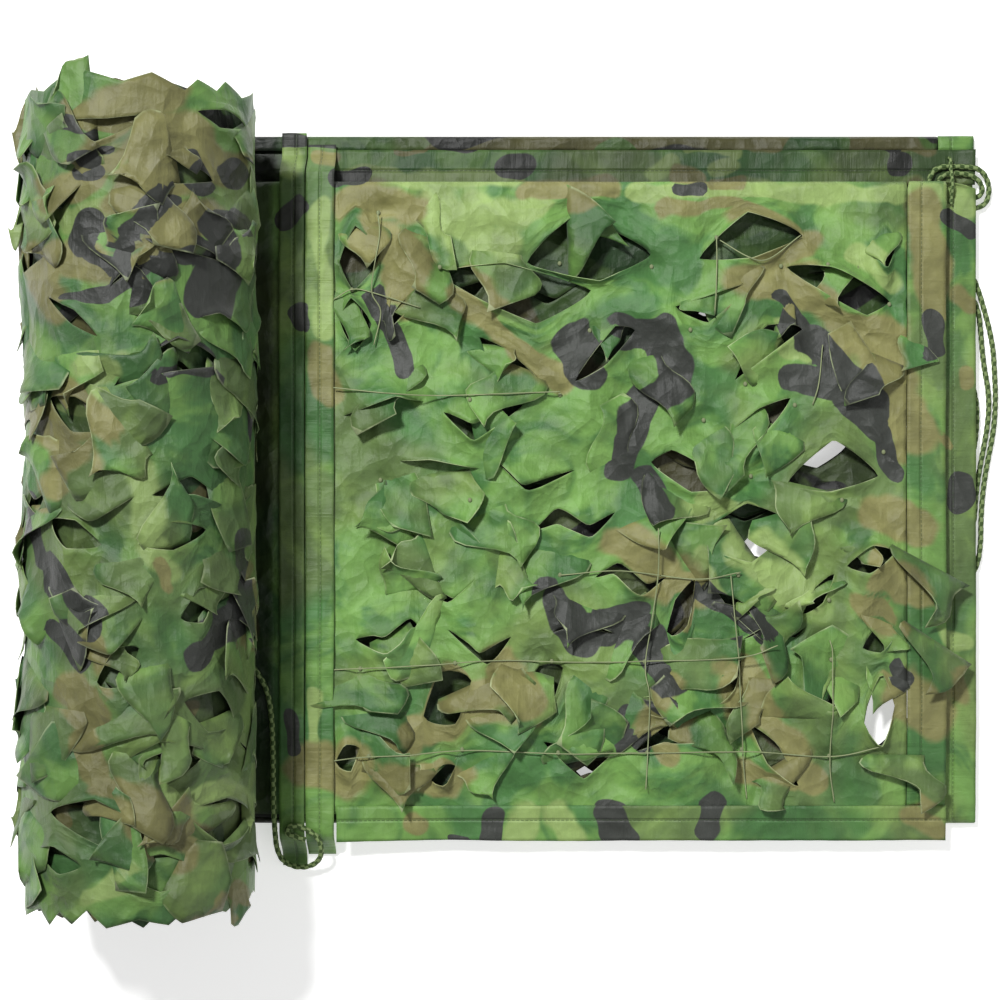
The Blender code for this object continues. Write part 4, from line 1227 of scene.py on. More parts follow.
def leaf_coat(draw, plan, area, steps, lift, style):
    """Overlapping leaves in staggered rows, most of them with their tips to the front."""
    middles, tongues = [], []
    for gap in plan["gaps"]:
        corners = [plan["from_pixel"](*place) for place in gap.values()]
        middles.append((sum(u for u, _ in corners) / 4, sum(v for _, v in corners) / 4))
        if draw.random() < plan["lip_share"]:
            top, low = plan["from_pixel"](*gap["top"]), plan["from_pixel"](*gap["bottom"])
            tongues.append(lip_leaf(draw, top, low, 0.6 * lift, (1, 1, 1)))
    rows, columns = (round((area[key][1] - area[key][0]) / steps[key]) + 1 for key in ("v", "u"))
    for row in range(rows):
        for column in range(columns):
            u = area["u"][0] + steps["u"] * (column + 0.5 * (row % 2)) + draw.uniform(-0.011, 0.011)
            v = area["v"][1] - steps["v"] * row + draw.uniform(-0.009, 0.009)
            heading = draw.choices((-90, 90, 0, 180), weights=(0.66, 0.14, 0.10, 0.10))[0]
            level = 0.0006 + 0.0016 * (column % 2) + draw.uniform(0, 0.0012)
            chance, weights = style(u, v)
            tongue = drawn_tongue(draw, u, v, heading, lift, level, weights)
            reach = [
                (u + math.cos(tongue["angle"]) * tongue["length"] * share,
                 v + math.sin(tongue["angle"]) * tongue["length"] * share)
                for share in (0.55, 1.0)
            ]
            over_tape = area.get("over_tape", 0.0) if v < 0.0 else 0.0
            inside = all(area["u"][0] < place[0] < area["u"][1] + over_tape for place in reach)
            if u > area["u"][1] - over_tape:
                tongue["level"] += TAPE_STEP
            inside = inside and all(area["v"][0] < place[1] < area["v"][1] for place in reach)
            clear = all(math.dist(middle, place) > plan["clear"] for middle in middles for place in reach)
            if inside and clear and draw.random() < chance:
                tongues.append(tongue)
    return tongues


def build_tongues(name, tongues, place, laid, mottle_and_painted_shade, stage, sizes, material, nodes):
    """Loose leaf tongues that lie over the cloth and stand up at their tips."""
    mesh = tongue_mesh(name, tongues)
    flat = vertex_places(mesh)
    shifts = [vertex_marks(mesh, key) for key in SHIFT_NAMES]
    own_inks = {ink: vertex_marks(mesh, f"own_{ink}") for ink in OWN_INKS}
    places = np.column_stack(place(flat[:, 0], flat[:, 1], flat[:, 2]))
    values = print_values(places, stage, laid(places), *shifts)
    own = sum(own_inks.values()) > 0.5
    for ink in INKS:
        values[ink] = np.where(own, own_inks[ink] * 2 - 1, values[ink])
    values["free"] = np.where(own, 0.0, values["free"])
    # Painted shade: the leaves are darkened by the given share and by each leaf's own drawn brightness,
    # which stands in for its tilt to the light.
    values["mottle_and_painted_shade"] = mottle_and_painted_shade * vertex_marks(mesh, "tone_and_painted_tilt_shade")
    values["edge"] = vertex_marks(mesh, "edge")
    mesh.attributes.remove(mesh.attributes["edge"])
    spread = flat[:, :2] + np.column_stack(shifts) * 0.01
    shape_mesh(mesh, places, spread, values)
    item = add_piece(name, mesh, material, nodes)
    give_thickness(item, sizes.cloth)
    return item


def side_tongues():
    """The leaf tips that stand out at the roll's side."""
    return [
        {
            "u": math.radians(leaf["turn"]) * ROLL_RADIUS, "v": leaf["y"] * 0.94,
            "angle": 0.0, "length": leaf["length"] + SIDE_LEAF_ROOT, "width": leaf["width"],
            "base": 0.9, "shoulder": 0.5, "tip": leaf["tip"], "skew": leaf["skew"], "slant": 0.002,
            # painted shade dims the standing leaves a little
            "tone_and_painted_tilt_shade": 0.9, "level": 0.0, "rise": 0.0, "tilt": 0.0, "ridge": 0.0, "stand": leaf["stand"],
            "ink": leaf["ink"], "print_shift": (0.0, 0.0),
        }
        for leaf in SIDE_LEAVES
    ]


# ================================================================ tapes

TAPE_COLUMNS = 10


def tape_mesh(name, columns, rows, lay, stage, mottle_and_painted_shade):
    """A tape: lay(along, across) gives its places, for shares from 0 to 1; returns mesh and size."""
    mesh = finished_mesh(name, new_grid(columns, rows))
    column, row, _ = grid_values(mesh)
    across, along = column / columns, row / rows
    x, y, z, length, width = lay(along, across)
    places = np.column_stack((x, y, np.maximum(z, 0.0009)))
    spread = np.column_stack((along * length, across * width))
    values = print_values(places, stage, np.ones(len(places)))
    values["edge"] = 0.8 * ((column < 0.5) | (column > columns - 0.5))
    values["mottle_and_painted_shade"] = np.full(len(places), mottle_and_painted_shade)
    shape_mesh(mesh, places, spread, values)
    return mesh, (width, length)


def tape_wrinkles(along, across, amount, seed):
    """Height of the small creases across a tape."""
    creases = ridges_at(along, across * 0.25, 42.0, seed) * 0.5 + noise_at(along, across, 75.0, seed + 3)
    return amount * creases


def lay_front_tape(along, across):
    start, end = LEAF_START + 0.0003, TOP_TAPE_END
    x = start + (end - start) * along
    y = FRONT_TAPE_Y[1] + (FRONT_TAPE_Y[0] - FRONT_TAPE_Y[1]) * across
    y = y + 0.0012 * noise_at(x, across, 9.0, 1.1) * across
    z = layer_base(2, np.minimum(x, TOP_CLOTH_END), y) + 0.0012
    z = z + tape_wrinkles(x, y, 0.0012, 8.8)
    return x, y, z, end - start, FRONT_TAPE_Y[1] - FRONT_TAPE_Y[0]


def lay_back_tape(along, across):
    start, end = SEAM_TAPES["seam_tape_left"][0], LOW_TAPE_END
    x = start + (end - start) * along
    y = BACK_TAPE_Y[0] + (BACK_TAPE_Y[1] - BACK_TAPE_Y[0]) * across
    z = MARGIN_Z + 0.0008 + tape_wrinkles(x, y, 0.0009, 4.1)
    z = z + 0.004 * soft_step(end - 0.016, end, x) * across
    return x, y, z, end - start, BACK_TAPE_Y[1] - BACK_TAPE_Y[0]


def seam_height(x, y):
    """Height of a seam tape's middle: on the top layer, and down over its fold and front edge."""
    on_top = layer_base(2, x, y) + 0.0027
    height = on_top + (MARGIN_Z + 0.0030 - on_top) * soft_step(*SEAM_BACK_BEND, y)
    return height + (0.0014 - height) * (1 - soft_step(*SEAM_FRONT_BEND, y))


def lay_seam_tape(name):
    left, right, front, back = SEAM_TAPES[name]

    def lay(along, across):
        y = front + (back - front) * along
        sway = 0.0012 * noise_at(y, across, 8.0, 6.0 + left)
        x = left + (right - left) * across + sway
        z = seam_height(np.full_like(y, (left + right) / 2), y)
        z = z + tape_wrinkles(y, x, 0.0010, 2.4 + left)
        return x, y, z, back - front, right - left

    return lay


def net_outline():
    """The line across the folded net at its end: Y, height, and number of the layer."""
    points = [(BACK_TAPE_Y[1], MARGIN_Z, 0.0)]
    low, middle, top = LAYER_Z
    arcs = [
        {"fold": BACK_FOLD_Y, "reach": MARGIN_RADIUS, "heights": (MARGIN_Z, low), "layers": (0, 0)},
        {"fold": FRONT_FOLD_Y, "reach": -FRONT_FOLD_RADIUS, "heights": (low, middle), "layers": (0, 1)},
        {"fold": TOP_FOLD_Y, "reach": FOLD_RADIUS, "heights": (middle, top), "layers": (1, 2)},
    ]
    for arc in arcs:
        start, end = arc["heights"]
        first, last = arc["layers"]
        for step in range(9):
            share = step / 8
            y = arc["fold"] + arc["reach"] * math.sin(math.pi * share)
            z = start + (end - start) * (1 - math.cos(math.pi * share)) / 2
            points.append((y, z, first + (last - first) * share))
    points.append((FRONT_TAPE_Y[1], LAYER_Z[2], 2.0))
    return np.array(points)


def lay_end_tape(along, across):
    outline = net_outline()
    spans = np.hypot(np.diff(outline[:, 0]), np.diff(outline[:, 1]))
    travelled = np.concatenate(([0], np.cumsum(spans)))
    s = along * travelled[-1]
    y, z, part = (np.interp(s, travelled, outline[:, index]) for index in range(3))
    short = soft_step(1.0, 1.6, part)
    inner = LOW_CLOTH_END + (TOP_CLOTH_END - LOW_CLOTH_END) * short + 0.0006
    inner = inner + 0.0024 * np.sin(np.pi * (part % 1))
    outer = LOW_TAPE_END + (TOP_TAPE_END - LOW_TAPE_END) * short
    outer = outer - 0.0014 * (0.5 + 0.5 * noise_at(y, part, 9.0, 3.0))
    x = inner + (outer - inner) * across
    crease = np.where(part > 1.5, CREASE_HEIGHT[2], np.where(part > 0.5, CREASE_HEIGHT[1], 0.0))
    z = z + crease * noise_at(inner, y, CREASE_SCALE, 9.3)
    droop = FRONT_DROOP * (1 - soft_step(FRONT_TAPE_Y[0], DROOP_START_Y, y))
    z = z - np.where(part > 1.5, droop, 0.0)
    z = z + tape_wrinkles(y, x * 2 + part, 0.0007, 7.7) + np.where(part < 0.01, 0.0006, 0.0)
    return x, y, z, travelled[-1], TOP_TAPE_END - TOP_CLOTH_END


# ================================================================ materials

def node(tree, kind, **values):
    """A node with its plain settings and its named inputs' values."""
    item = tree.nodes.new(kind)
    for name, value in values.items():
        if name in item.inputs:
            item.inputs[name].default_value = value
        else:
            setattr(item, name, value)
    return item


def feed(tree, socket, value):
    """Links a socket to an output, or sets its plain value."""
    if isinstance(value, bpy.types.NodeSocket):
        tree.links.new(value, socket)
    else:
        socket.default_value = value


def math_node(tree, operation, *values):
    """A Math node over sockets or numbers; returns its output."""
    item = node(tree, "ShaderNodeMath", operation=operation)
    for index, value in enumerate(values):
        feed(tree, item.inputs[index], value)
    return item.outputs[0]


def vector_node(tree, operation, vector, other):
    """A Vector Math node over a socket and a socket or value; returns its output."""
    item = node(tree, "ShaderNodeVectorMath", operation=operation)
    feed(tree, item.inputs[0], vector)
    feed(tree, item.inputs["Scale" if operation == "SCALE" else 1], other)
    return item.outputs[0]


def mix_colour(tree, factor, one, two, blend="MIX"):
    """A colour Mix node over sockets or colours; returns its output."""
    item = node(tree, "ShaderNodeMix", data_type="RGBA", blend_type=blend)
    for index, value in ((0, factor), (6, one), (7, two)):
        feed(tree, item.inputs[index], value)
    return item.outputs[2]


def dimmed(tree, colour, share):
    """A colour times a value's share."""
    grey = node(tree, "ShaderNodeCombineColor")
    for socket in grey.inputs:
        feed(tree, socket, share)
    return mix_colour(tree, 1.0, colour, grey.outputs[0], "MULTIPLY")


def step_node(tree, value, low, high):
    """A soft step of a value between low and high, 0 to 1."""
    item = node(tree, "ShaderNodeMapRange", interpolation_type="SMOOTHSTEP")
    for label, given in (("Value", value), ("From Min", low), ("From Max", high)):
        feed(tree, item.inputs[label], given)
    return item.outputs["Result"]


def noise_node(tree, vector, scale, detail=2.0, roughness=0.5, distortion=0.0):
    """A noise texture over a vector; returns its value."""
    item = node(
        tree, "ShaderNodeTexNoise", Scale=scale, Detail=detail, Roughness=roughness,
        Distortion=distortion,
    )
    feed(tree, item.inputs["Vector"], vector)
    return item.outputs["Fac"]


def bump_height(tree, shader, height, strength, distance):
    """Feeds a height to a shader's normal."""
    bump = node(tree, "ShaderNodeBump", Strength=strength, Distance=distance)
    tree.links.new(height, bump.inputs["Height"])
    tree.links.new(bump.outputs["Normal"], shader.inputs["Normal"])


def new_group(name, inputs, outputs):
    """An empty shader group with named sockets; returns the tree and both end nodes."""
    tree = bpy.data.node_groups.new(name, "ShaderNodeTree")
    for label, kind in inputs:
        tree.interface.new_socket(name=label, in_out="INPUT", socket_type=kind)
    for label, kind in outputs:
        tree.interface.new_socket(name=label, in_out="OUTPUT", socket_type=kind)
    start = tree.nodes.new("NodeGroupInput")
    end = tree.nodes.new("NodeGroupOutput")
    return tree, start, end


COLOUR, NUMBER, VECTOR = "NodeSocketColor", "NodeSocketFloat", "NodeSocketVector"
THREAD_PITCH = 0.0011
WEAVE_HEIGHT = 0.00005
# Colour of the cut edges: their own paler frayed colour, with a painted highlight where the curled edges
# catch the light.
CUT_EDGE_AND_HIGHLIGHT_COLOUR = (0.50, 0.58, 0.32, 1)
STITCH_INSET = 0.0135
STITCH_LENGTH = 0.0042
THREAD_COLOUR = (0.05, 0.08, 0.03, 1)


def woodland_group():
    """The four-ink print: laid strokes with wavy edges, and a free print where none is laid."""
    tree, start, end = new_group(
        "woodland print",
        [("Vector", VECTOR), ("Dark", NUMBER), ("Brown", NUMBER), ("Pale", NUMBER), ("Free", NUMBER),
         ("Green Ink", COLOUR), ("Deep Ink", COLOUR), ("Brown Ink", COLOUR), ("Pale Ink", COLOUR),
         ("Dark Ink", COLOUR)],
        [("Color", COLOUR), ("Dark Mask", NUMBER)],
    )
    vector = start.outputs["Vector"]
    wobble = math_node(tree, "SUBTRACT", noise_node(tree, vector, 19.0, 2.0), 0.5)
    masks = {}
    recipes = {
        "Pale": {"scale": 8.0, "seed": 0.35, "low": 0.600, "wave": 2.2, "soft": 0.24},
        "Brown": {"scale": 7.0, "seed": 3.75, "low": 0.545, "wave": 2.0, "soft": 0.20},
        "Dark": {"scale": 8.5, "seed": 7.15, "low": 0.590, "wave": 1.3, "soft": 0.05},
    }
    for ink, recipe in recipes.items():
        wave = math_node(tree, "MULTIPLY", wobble, recipe["wave"])
        laid = math_node(tree, "ADD", start.outputs[ink], wave)
        laid = step_node(tree, laid, -recipe["soft"], recipe["soft"])
        moved = vector_node(tree, "ADD", vector, (recipe["seed"], 1.7 * recipe["seed"], 0.0))
        field = noise_node(tree, moved, recipe["scale"], 2.0, 0.45, 0.6)
        free = step_node(tree, field, recipe["low"], recipe["low"] + 0.012)
        free = math_node(tree, "MULTIPLY", free, start.outputs["Free"])
        masks[ink] = math_node(tree, "MAXIMUM", laid, free)
    soft = noise_node(tree, vector, 13.0, 3.0, 0.55, 0.8)
    deep = step_node(tree, soft, 0.42, 0.57)
    olive = step_node(tree, noise_node(tree, vector, 5.5, 2.0, 0.5, 1.0), 0.46, 0.62)
    olive = math_node(tree, "MULTIPLY", olive, 0.34)
    colour = mix_colour(tree, deep, start.outputs["Green Ink"], start.outputs["Deep Ink"])
    colour = mix_colour(tree, olive, colour, start.outputs["Brown Ink"])
    colour = mix_colour(tree, masks["Pale"], colour, start.outputs["Pale Ink"])
    colour = mix_colour(tree, masks["Brown"], colour, start.outputs["Brown Ink"])
    colour = mix_colour(tree, masks["Dark"], colour, start.outputs["Dark Ink"])
    tree.links.new(colour, end.inputs["Color"])
    tree.links.new(masks["Dark"], end.inputs["Dark Mask"])
    return tree


def cloth_finish_group():
    """Coated woven cloth: weave and fine crinkles as a height, tone changes and roughness."""
    tree, start, end = new_group(
        "coated cloth finish",
        [("Vector", VECTOR), ("Weave", NUMBER), ("Crinkle", NUMBER), ("Streak", NUMBER)],
        [("Height", NUMBER), ("Tone", NUMBER), ("Roughness", NUMBER)],
    )
    vector = start.outputs["Vector"]
    parts = node(tree, "ShaderNodeSeparateXYZ")
    tree.links.new(vector, parts.inputs[0])
    threads = 2 * math.pi / THREAD_PITCH
    warp = math_node(tree, "SINE", math_node(tree, "MULTIPLY", parts.outputs[0], threads))
    weft = math_node(tree, "SINE", math_node(tree, "MULTIPLY", parts.outputs[1], threads))
    weave = math_node(tree, "MULTIPLY", warp, weft)
    weave = math_node(tree, "MULTIPLY", weave, start.outputs["Weave"])
    swirl = node(tree, "ShaderNodeTexNoise", Scale=17.0, Detail=2.0)
    tree.links.new(vector, swirl.inputs["Vector"])
    push = vector_node(tree, "SCALE", swirl.outputs["Color"], 0.03)
    bent = vector_node(tree, "ADD", vector, push)
    crumple = math_node(tree, "MULTIPLY", crease_cells(tree, bent, 21.0), 0.0060)
    small = math_node(tree, "MULTIPLY", crease_cells(tree, bent, 58.0), 0.0019)
    fine = math_node(tree, "MULTIPLY", noise_node(tree, vector, 150.0, 3.0), 0.0006)
    crinkle = math_node(tree, "ADD", math_node(tree, "ADD", crumple, small), fine)
    crinkle = math_node(tree, "MULTIPLY", crinkle, start.outputs["Crinkle"])
    stretched = vector_node(tree, "MULTIPLY", vector, (1.0, 0.13, 1.0))
    drawn = noise_node(tree, stretched, 105.0, 3.0, 0.6, 0.8)
    streak = math_node(tree, "MULTIPLY", drawn, start.outputs["Streak"])
    height = math_node(tree, "ADD", math_node(tree, "ADD", weave, crinkle), streak)
    tree.links.new(height, end.inputs["Height"])
    # Random tone of the cloth's own colour.
    tone_and_painted_tilt_shade = noise_node(tree, vector, 24.0, 4.0, 0.62, 0.5)
    tree.links.new(tone_and_painted_tilt_shade, end.inputs["Tone"])
    rough = math_node(tree, "MULTIPLY_ADD", tone_and_painted_tilt_shade, 0.24, 0.34)
    tree.links.new(rough, end.inputs["Roughness"])
    return tree


def crease_cells(tree, vector, scale):
    """Distance from the middle of creased cells: cones that meet in straight creases."""
    item = node(tree, "ShaderNodeTexVoronoi", feature="F1", Scale=scale)
    tree.links.new(vector, item.inputs["Vector"])
    return item.outputs["Distance"]


def place_group(tree, group, **sockets):
    """A group node with its inputs set or linked."""
    item = node(tree, "ShaderNodeGroup", node_tree=group)
    for name, value in sockets.items():
        feed(tree, item.inputs[name.replace("_", " ")], value)
    return item


def attribute_node(tree, name):
    """The value of a mesh attribute."""
    item = node(tree, "ShaderNodeAttribute", attribute_type="GEOMETRY", attribute_name=name)
    return item.outputs["Fac"]


def start_material(name, **plain):
    """A material whose Principled shader has plain values; returns its tree and its shader."""
    material = bpy.data.materials.new(name)
    material.use_nodes = True
    tree = material.node_tree
    shader = tree.nodes["Principled BSDF"]
    for label, value in plain.items():
        shader.inputs[label.replace("_", " ")].default_value = value
    return tree, shader


def stitch_group():
    """Stitches along a tape: marks of the thread, and a height with its groove."""
    tree, start, end = new_group(
        "stitch line",
        [("Vector", VECTOR), ("Across", NUMBER), ("Stitch", NUMBER)],
        [("Thread", NUMBER), ("Height", NUMBER)],
    )
    parts = node(tree, "ShaderNodeSeparateXYZ")
    tree.links.new(start.outputs["Vector"], parts.inputs[0])
    away = math_node(tree, "SUBTRACT", parts.outputs[1], start.outputs["Across"])
    away = math_node(tree, "ABSOLUTE", away)
    near = math_node(tree, "SUBTRACT", 1.0, step_node(tree, away, 0.0003, 0.0006))
    dash = math_node(tree, "FRACT", math_node(tree, "DIVIDE", parts.outputs[0], start.outputs["Stitch"]))
    dash = math_node(tree, "SUBTRACT", 1.0, step_node(tree, dash, 0.62, 0.74))
    thread = math_node(tree, "MULTIPLY", near, dash)
    groove = math_node(tree, "SUBTRACT", 1.0, step_node(tree, away, 0.0002, 0.0024))
    height = math_node(tree, "MULTIPLY_ADD", thread, 0.0004, math_node(tree, "MULTIPLY", groove, -0.0009))
    tree.links.new(thread, end.inputs["Thread"])
    tree.links.new(height, end.inputs["Height"])
    return tree


def cloth_material(name, colours, woodland, finish, crinkle, streak, stitches=None):
    """Printed coated cloth with cut edges lightened by their own paler colour and a painted highlight, with
    painted shade, and with a stitch line where stitches is given.
    """
    tree, shader = start_material(name, Specular_IOR_Level=0.36, Sheen_Weight=0.06)
    uv = node(tree, "ShaderNodeUVMap", uv_map="UVMap").outputs["UV"]
    inks = place_group(
        tree, woodland, Vector=uv,
        Dark=attribute_node(tree, "dark"), Brown=attribute_node(tree, "brown"),
        Pale=attribute_node(tree, "pale"), Free=attribute_node(tree, "free"),
        Green_Ink=tuple(colours.green), Deep_Ink=tuple(colours.deep), Brown_Ink=tuple(colours.brown),
        Pale_Ink=tuple(colours.pale), Dark_Ink=tuple(colours.dark),
    )
    surface = place_group(tree, finish, Vector=uv, Weave=WEAVE_HEIGHT, Crinkle=crinkle, Streak=streak)
    # Random mottle of the cloth's own tone.
    mottle_and_painted_shade = math_node(tree, "MULTIPLY_ADD", surface.outputs["Tone"], 1.3, 0.33)
    colour = dimmed(tree, inks.outputs["Color"], mottle_and_painted_shade)
    # Light rims on the cut edges: partly the edges' own paler colour, partly a painted highlight.
    rim = step_node(tree, attribute_node(tree, "edge"), 0.80, 0.97)
    some = step_node(tree, surface.outputs["Tone"], 0.42, 0.62)
    rim = math_node(tree, "MULTIPLY", rim, math_node(tree, "MULTIPLY_ADD", some, 0.55, 0.12))
    colour = mix_colour(tree, rim, colour, CUT_EDGE_AND_HIGHLIGHT_COLOUR)
    height = surface.outputs["Height"]
    if stitches is not None:
        sewn = place_group(tree, stitches, Vector=uv, Across=STITCH_INSET, Stitch=STITCH_LENGTH)
        thread = math_node(tree, "MULTIPLY", sewn.outputs["Thread"], 0.55)
        colour = mix_colour(tree, thread, colour, THREAD_COLOUR)
        height = math_node(tree, "ADD", height, sewn.outputs["Height"])
    # Painted shade: the shade attribute darkens the colour of the lower layers, the roll, its inner turns,
    # the back tape and the cloth beside the roll.
    colour = dimmed(tree, colour, attribute_node(tree, "mottle_and_painted_shade"))
    tree.links.new(colour, shader.inputs["Base Color"])
    tree.links.new(surface.outputs["Roughness"], shader.inputs["Roughness"])
    bump_height(tree, shader, height, 1.0, 1.0)


def cord_material(name, light, dark):
    """Two-tone braid or twist, from the strand attribute of the tube."""
    tree, shader = start_material(name, Roughness=0.75, Specular_IOR_Level=0.25)
    uv = node(tree, "ShaderNodeUVMap", uv_map="UVMap").outputs["UV"]
    strand = step_node(tree, attribute_node(tree, "strand"), 0.42, 0.58)
    fibre = noise_node(tree, uv, 900.0, 2.0)
    colour = mix_colour(tree, strand, tuple(dark), tuple(light))
    colour = mix_colour(tree, math_node(tree, "MULTIPLY", fibre, 0.4), colour, tuple(dark))
    tree.links.new(colour, shader.inputs["Base Color"])
    bump_height(tree, shader, fibre, 0.4, 0.0003)


def shared_materials(colours):
    """Builds the net's materials once and finds them again on later calls."""
    if "leaf cloth" not in bpy.data.materials:
        woodland, finish = woodland_group(), cloth_finish_group()
        cloth_material("leaf cloth", colours, woodland, finish, 1.4, 0.0009)
        cloth_material("tape cloth", colours, woodland, finish, 0.6, 0.0013, stitch_group())
        cord_material("braided rope", colours.rope_light, colours.rope_dark)
        pale = [0.6 * value for value in colours.twine[:3]] + [1.0]
        cord_material("net twine", colours.twine, pale)
    return bpy.data.materials


# ================================================================ cords

ROPE_STEP = 0.0011
ROPE_SIDES = 16
BRAID_RELIEF = 0.14
BRAID_PITCH = 1.7


def smooth_route(points, step):
    """Points at even steps on the smooth curve through a route's own points."""
    places = [Vector(point) for point in points]
    padded = [places[0] * 2 - places[1]] + places + [places[-1] * 2 - places[-2]]
    dense = []
    for index in range(1, len(padded) - 2):
        before, start, end, after = padded[index - 1:index + 3]
        for part in range(12):
            t = part / 12
            dense.append(0.5 * (
                2 * start + (end - before) * t
                + (2 * before - 5 * start + 4 * end - after) * t ** 2
                + (3 * start - before - 3 * end + after) * t ** 3
            ))
    dense.append(places[-1])
    length = sum((b - a).length for a, b in zip(dense, dense[1:]))
    count = max(4, round(length / step))
    result, travelled, target = [dense[0]], 0.0, length / count
    for a, b in zip(dense, dense[1:]):
        span = (b - a).length
        while travelled + span >= target - 1e-9 and len(result) < count:
            share = (target - travelled) / span
            result.append(a.lerp(b, share))
            target += length / count
        travelled += span
    result.append(dense[-1])
    return result


def route_length(route):
    return sum((b - a).length for a, b in zip(route, route[1:]))


def path_frames(route):
    """For each point of a route, two directions across it that don't twist along the way."""
    frames = []
    across = Vector((0, 0, 1))
    for index, place in enumerate(route):
        ahead = route[min(index + 1, len(route) - 1)] - route[max(index - 1, 0)]
        ahead.normalize()
        across = across - ahead * across.dot(ahead)
        if across.length < 1e-4:
            across = ahead.orthogonal()
        across.normalize()
        frames.append((across.copy(), ahead.cross(across)))
    return frames


def tube_mesh(name, route, radius, sides, relief, pitch):
    """A round cord along a route, with crossing strands raised on it and its ends closed."""
    frames = path_frames(route)
    step = route_length(route) / (len(route) - 1)
    work = new_grid(sides, len(route) - 1)
    uv = work.loops.layers.uv.new("UVMap")
    strand = work.verts.layers.float.new("strand")
    for face in work.faces:
        for corner in face.loops:
            corner[uv].uv = (corner.vert.co.y * step, corner.vert.co.x / sides * 2 * math.pi * radius)
    for vertex in work.verts:
        turn = 2 * math.pi * vertex.co.x / sides
        index = round(vertex.co.y)
        along = 2 * math.pi * index * step / pitch
        one, two = math.sin(2 * turn + along), math.sin(2 * turn - along)
        vertex[strand] = 0.5 + 0.5 * max(-1.0, min(1.0, (one - two) * 1.4))
        raised = radius * (1 + relief * (max(one, two) - 0.75))
        normal, side = frames[index]
        vertex.co = route[index] + normal * (math.cos(turn) * raised) + side * (math.sin(turn) * raised)
    bmesh.ops.remove_doubles(work, verts=work.verts, dist=1e-6)
    rims = [edge for edge in work.edges if edge.is_boundary]
    bmesh.ops.holes_fill(work, edges=rims, sides=0)
    bmesh.ops.recalc_face_normals(work, faces=work.faces)
    return finished_mesh(name, work)


# ================================================================ operators

class NET_OT_stage(bpy.types.Operator):
    """Add the plain floor, the soft lights and the camera over the net"""

    bl_idname = "net.build_stage"
    bl_label = "Stage"

    def execute(self, context):
        stage = context.scene.net_stage
        context.scene.view_settings.view_transform = "Standard"
        context.scene.view_settings.look = "None"
        self.add_floor(stage)
        self.add_lights(context, stage)
        self.add_camera(context, stage)
        return {"FINISHED"}

    def add_floor(self, stage):
        work = bmesh.new()
        bmesh.ops.create_grid(work, x_segments=4, y_segments=4, size=stage.floor_size / 2)
        bmesh.ops.translate(work, vec=(0, 0, -FLOOR_CLEARANCE), verts=work.verts)
        mesh = finished_mesh("floor", work)
        item = bpy.data.objects.new("floor", mesh)
        bpy.context.scene.collection.objects.link(item)
        start_material(
            "floor", Base_Color=(0.93, 0.93, 0.92, 1), Roughness=0.8,
            Emission_Color=(1, 1, 1, 1), Emission_Strength=0.50,
        )
        mesh.materials.append(bpy.data.materials["floor"])

    def add_lights(self, context, stage):
        lights = [
            {"name": "key", "place": (-1.2, 1.8, 3.0), "size": 0.45, "power": stage.key_power},
            {"name": "fill", "place": (1.3, -0.7, 1.6), "size": 1.6, "power": stage.fill_power},
        ]
        for entry in lights:
            light = bpy.data.lights.new(entry["name"], "AREA")
            light.shape = "SQUARE"
            light.size = entry["size"]
            light.energy = entry["power"]
            item = bpy.data.objects.new(entry["name"], light)
            context.scene.collection.objects.link(item)
            item.location = entry["place"]
            towards = Vector((0, 0, 0)) - item.location
            item.rotation_euler = towards.to_track_quat("-Z", "Y").to_euler()
        world = bpy.data.worlds.new("sky")
        context.scene.world = world
        world.use_nodes = True
        sky = world.node_tree.nodes["Background"]
        sky.inputs["Color"].default_value = (1, 1, 1, 1)
        sky.inputs["Strength"].default_value = stage.sky

    def add_camera(self, context, stage):
        camera = bpy.data.cameras.new("camera")
        camera.sensor_fit = "HORIZONTAL"
        camera.angle = 2 * math.atan(stage.field / 2 / stage.height)
        camera.clip_end = 50
        item = bpy.data.objects.new("camera", camera)
        context.scene.collection.objects.link(item)
        item.location = (stage.centre_x, 0, stage.height)
        context.scene.camera = item


class NET_OT_ropes(bpy.types.Operator):
    """Braid the hitch, the hank and the corner rope along their routes"""

    bl_idname = "net.build_ropes"
    bl_label = "Ropes"

    def execute(self, context):
        sizes = context.scene.net_sizes
        materials = shared_materials(context.scene.net_colours)
        for name, points in ROPE_ROUTES.items():
            diameter = sizes.loop if name == LOOP_ROPE else sizes.rope
            route = smooth_route(points, ROPE_STEP)
            pitch = diameter * BRAID_PITCH
            mesh = tube_mesh(f"rope_{name}", route, diameter / 2, ROPE_SIDES, BRAID_RELIEF, pitch)
            item = add_piece(f"rope_{name}", mesh, materials["braided rope"], [name])
        return {"FINISHED"}


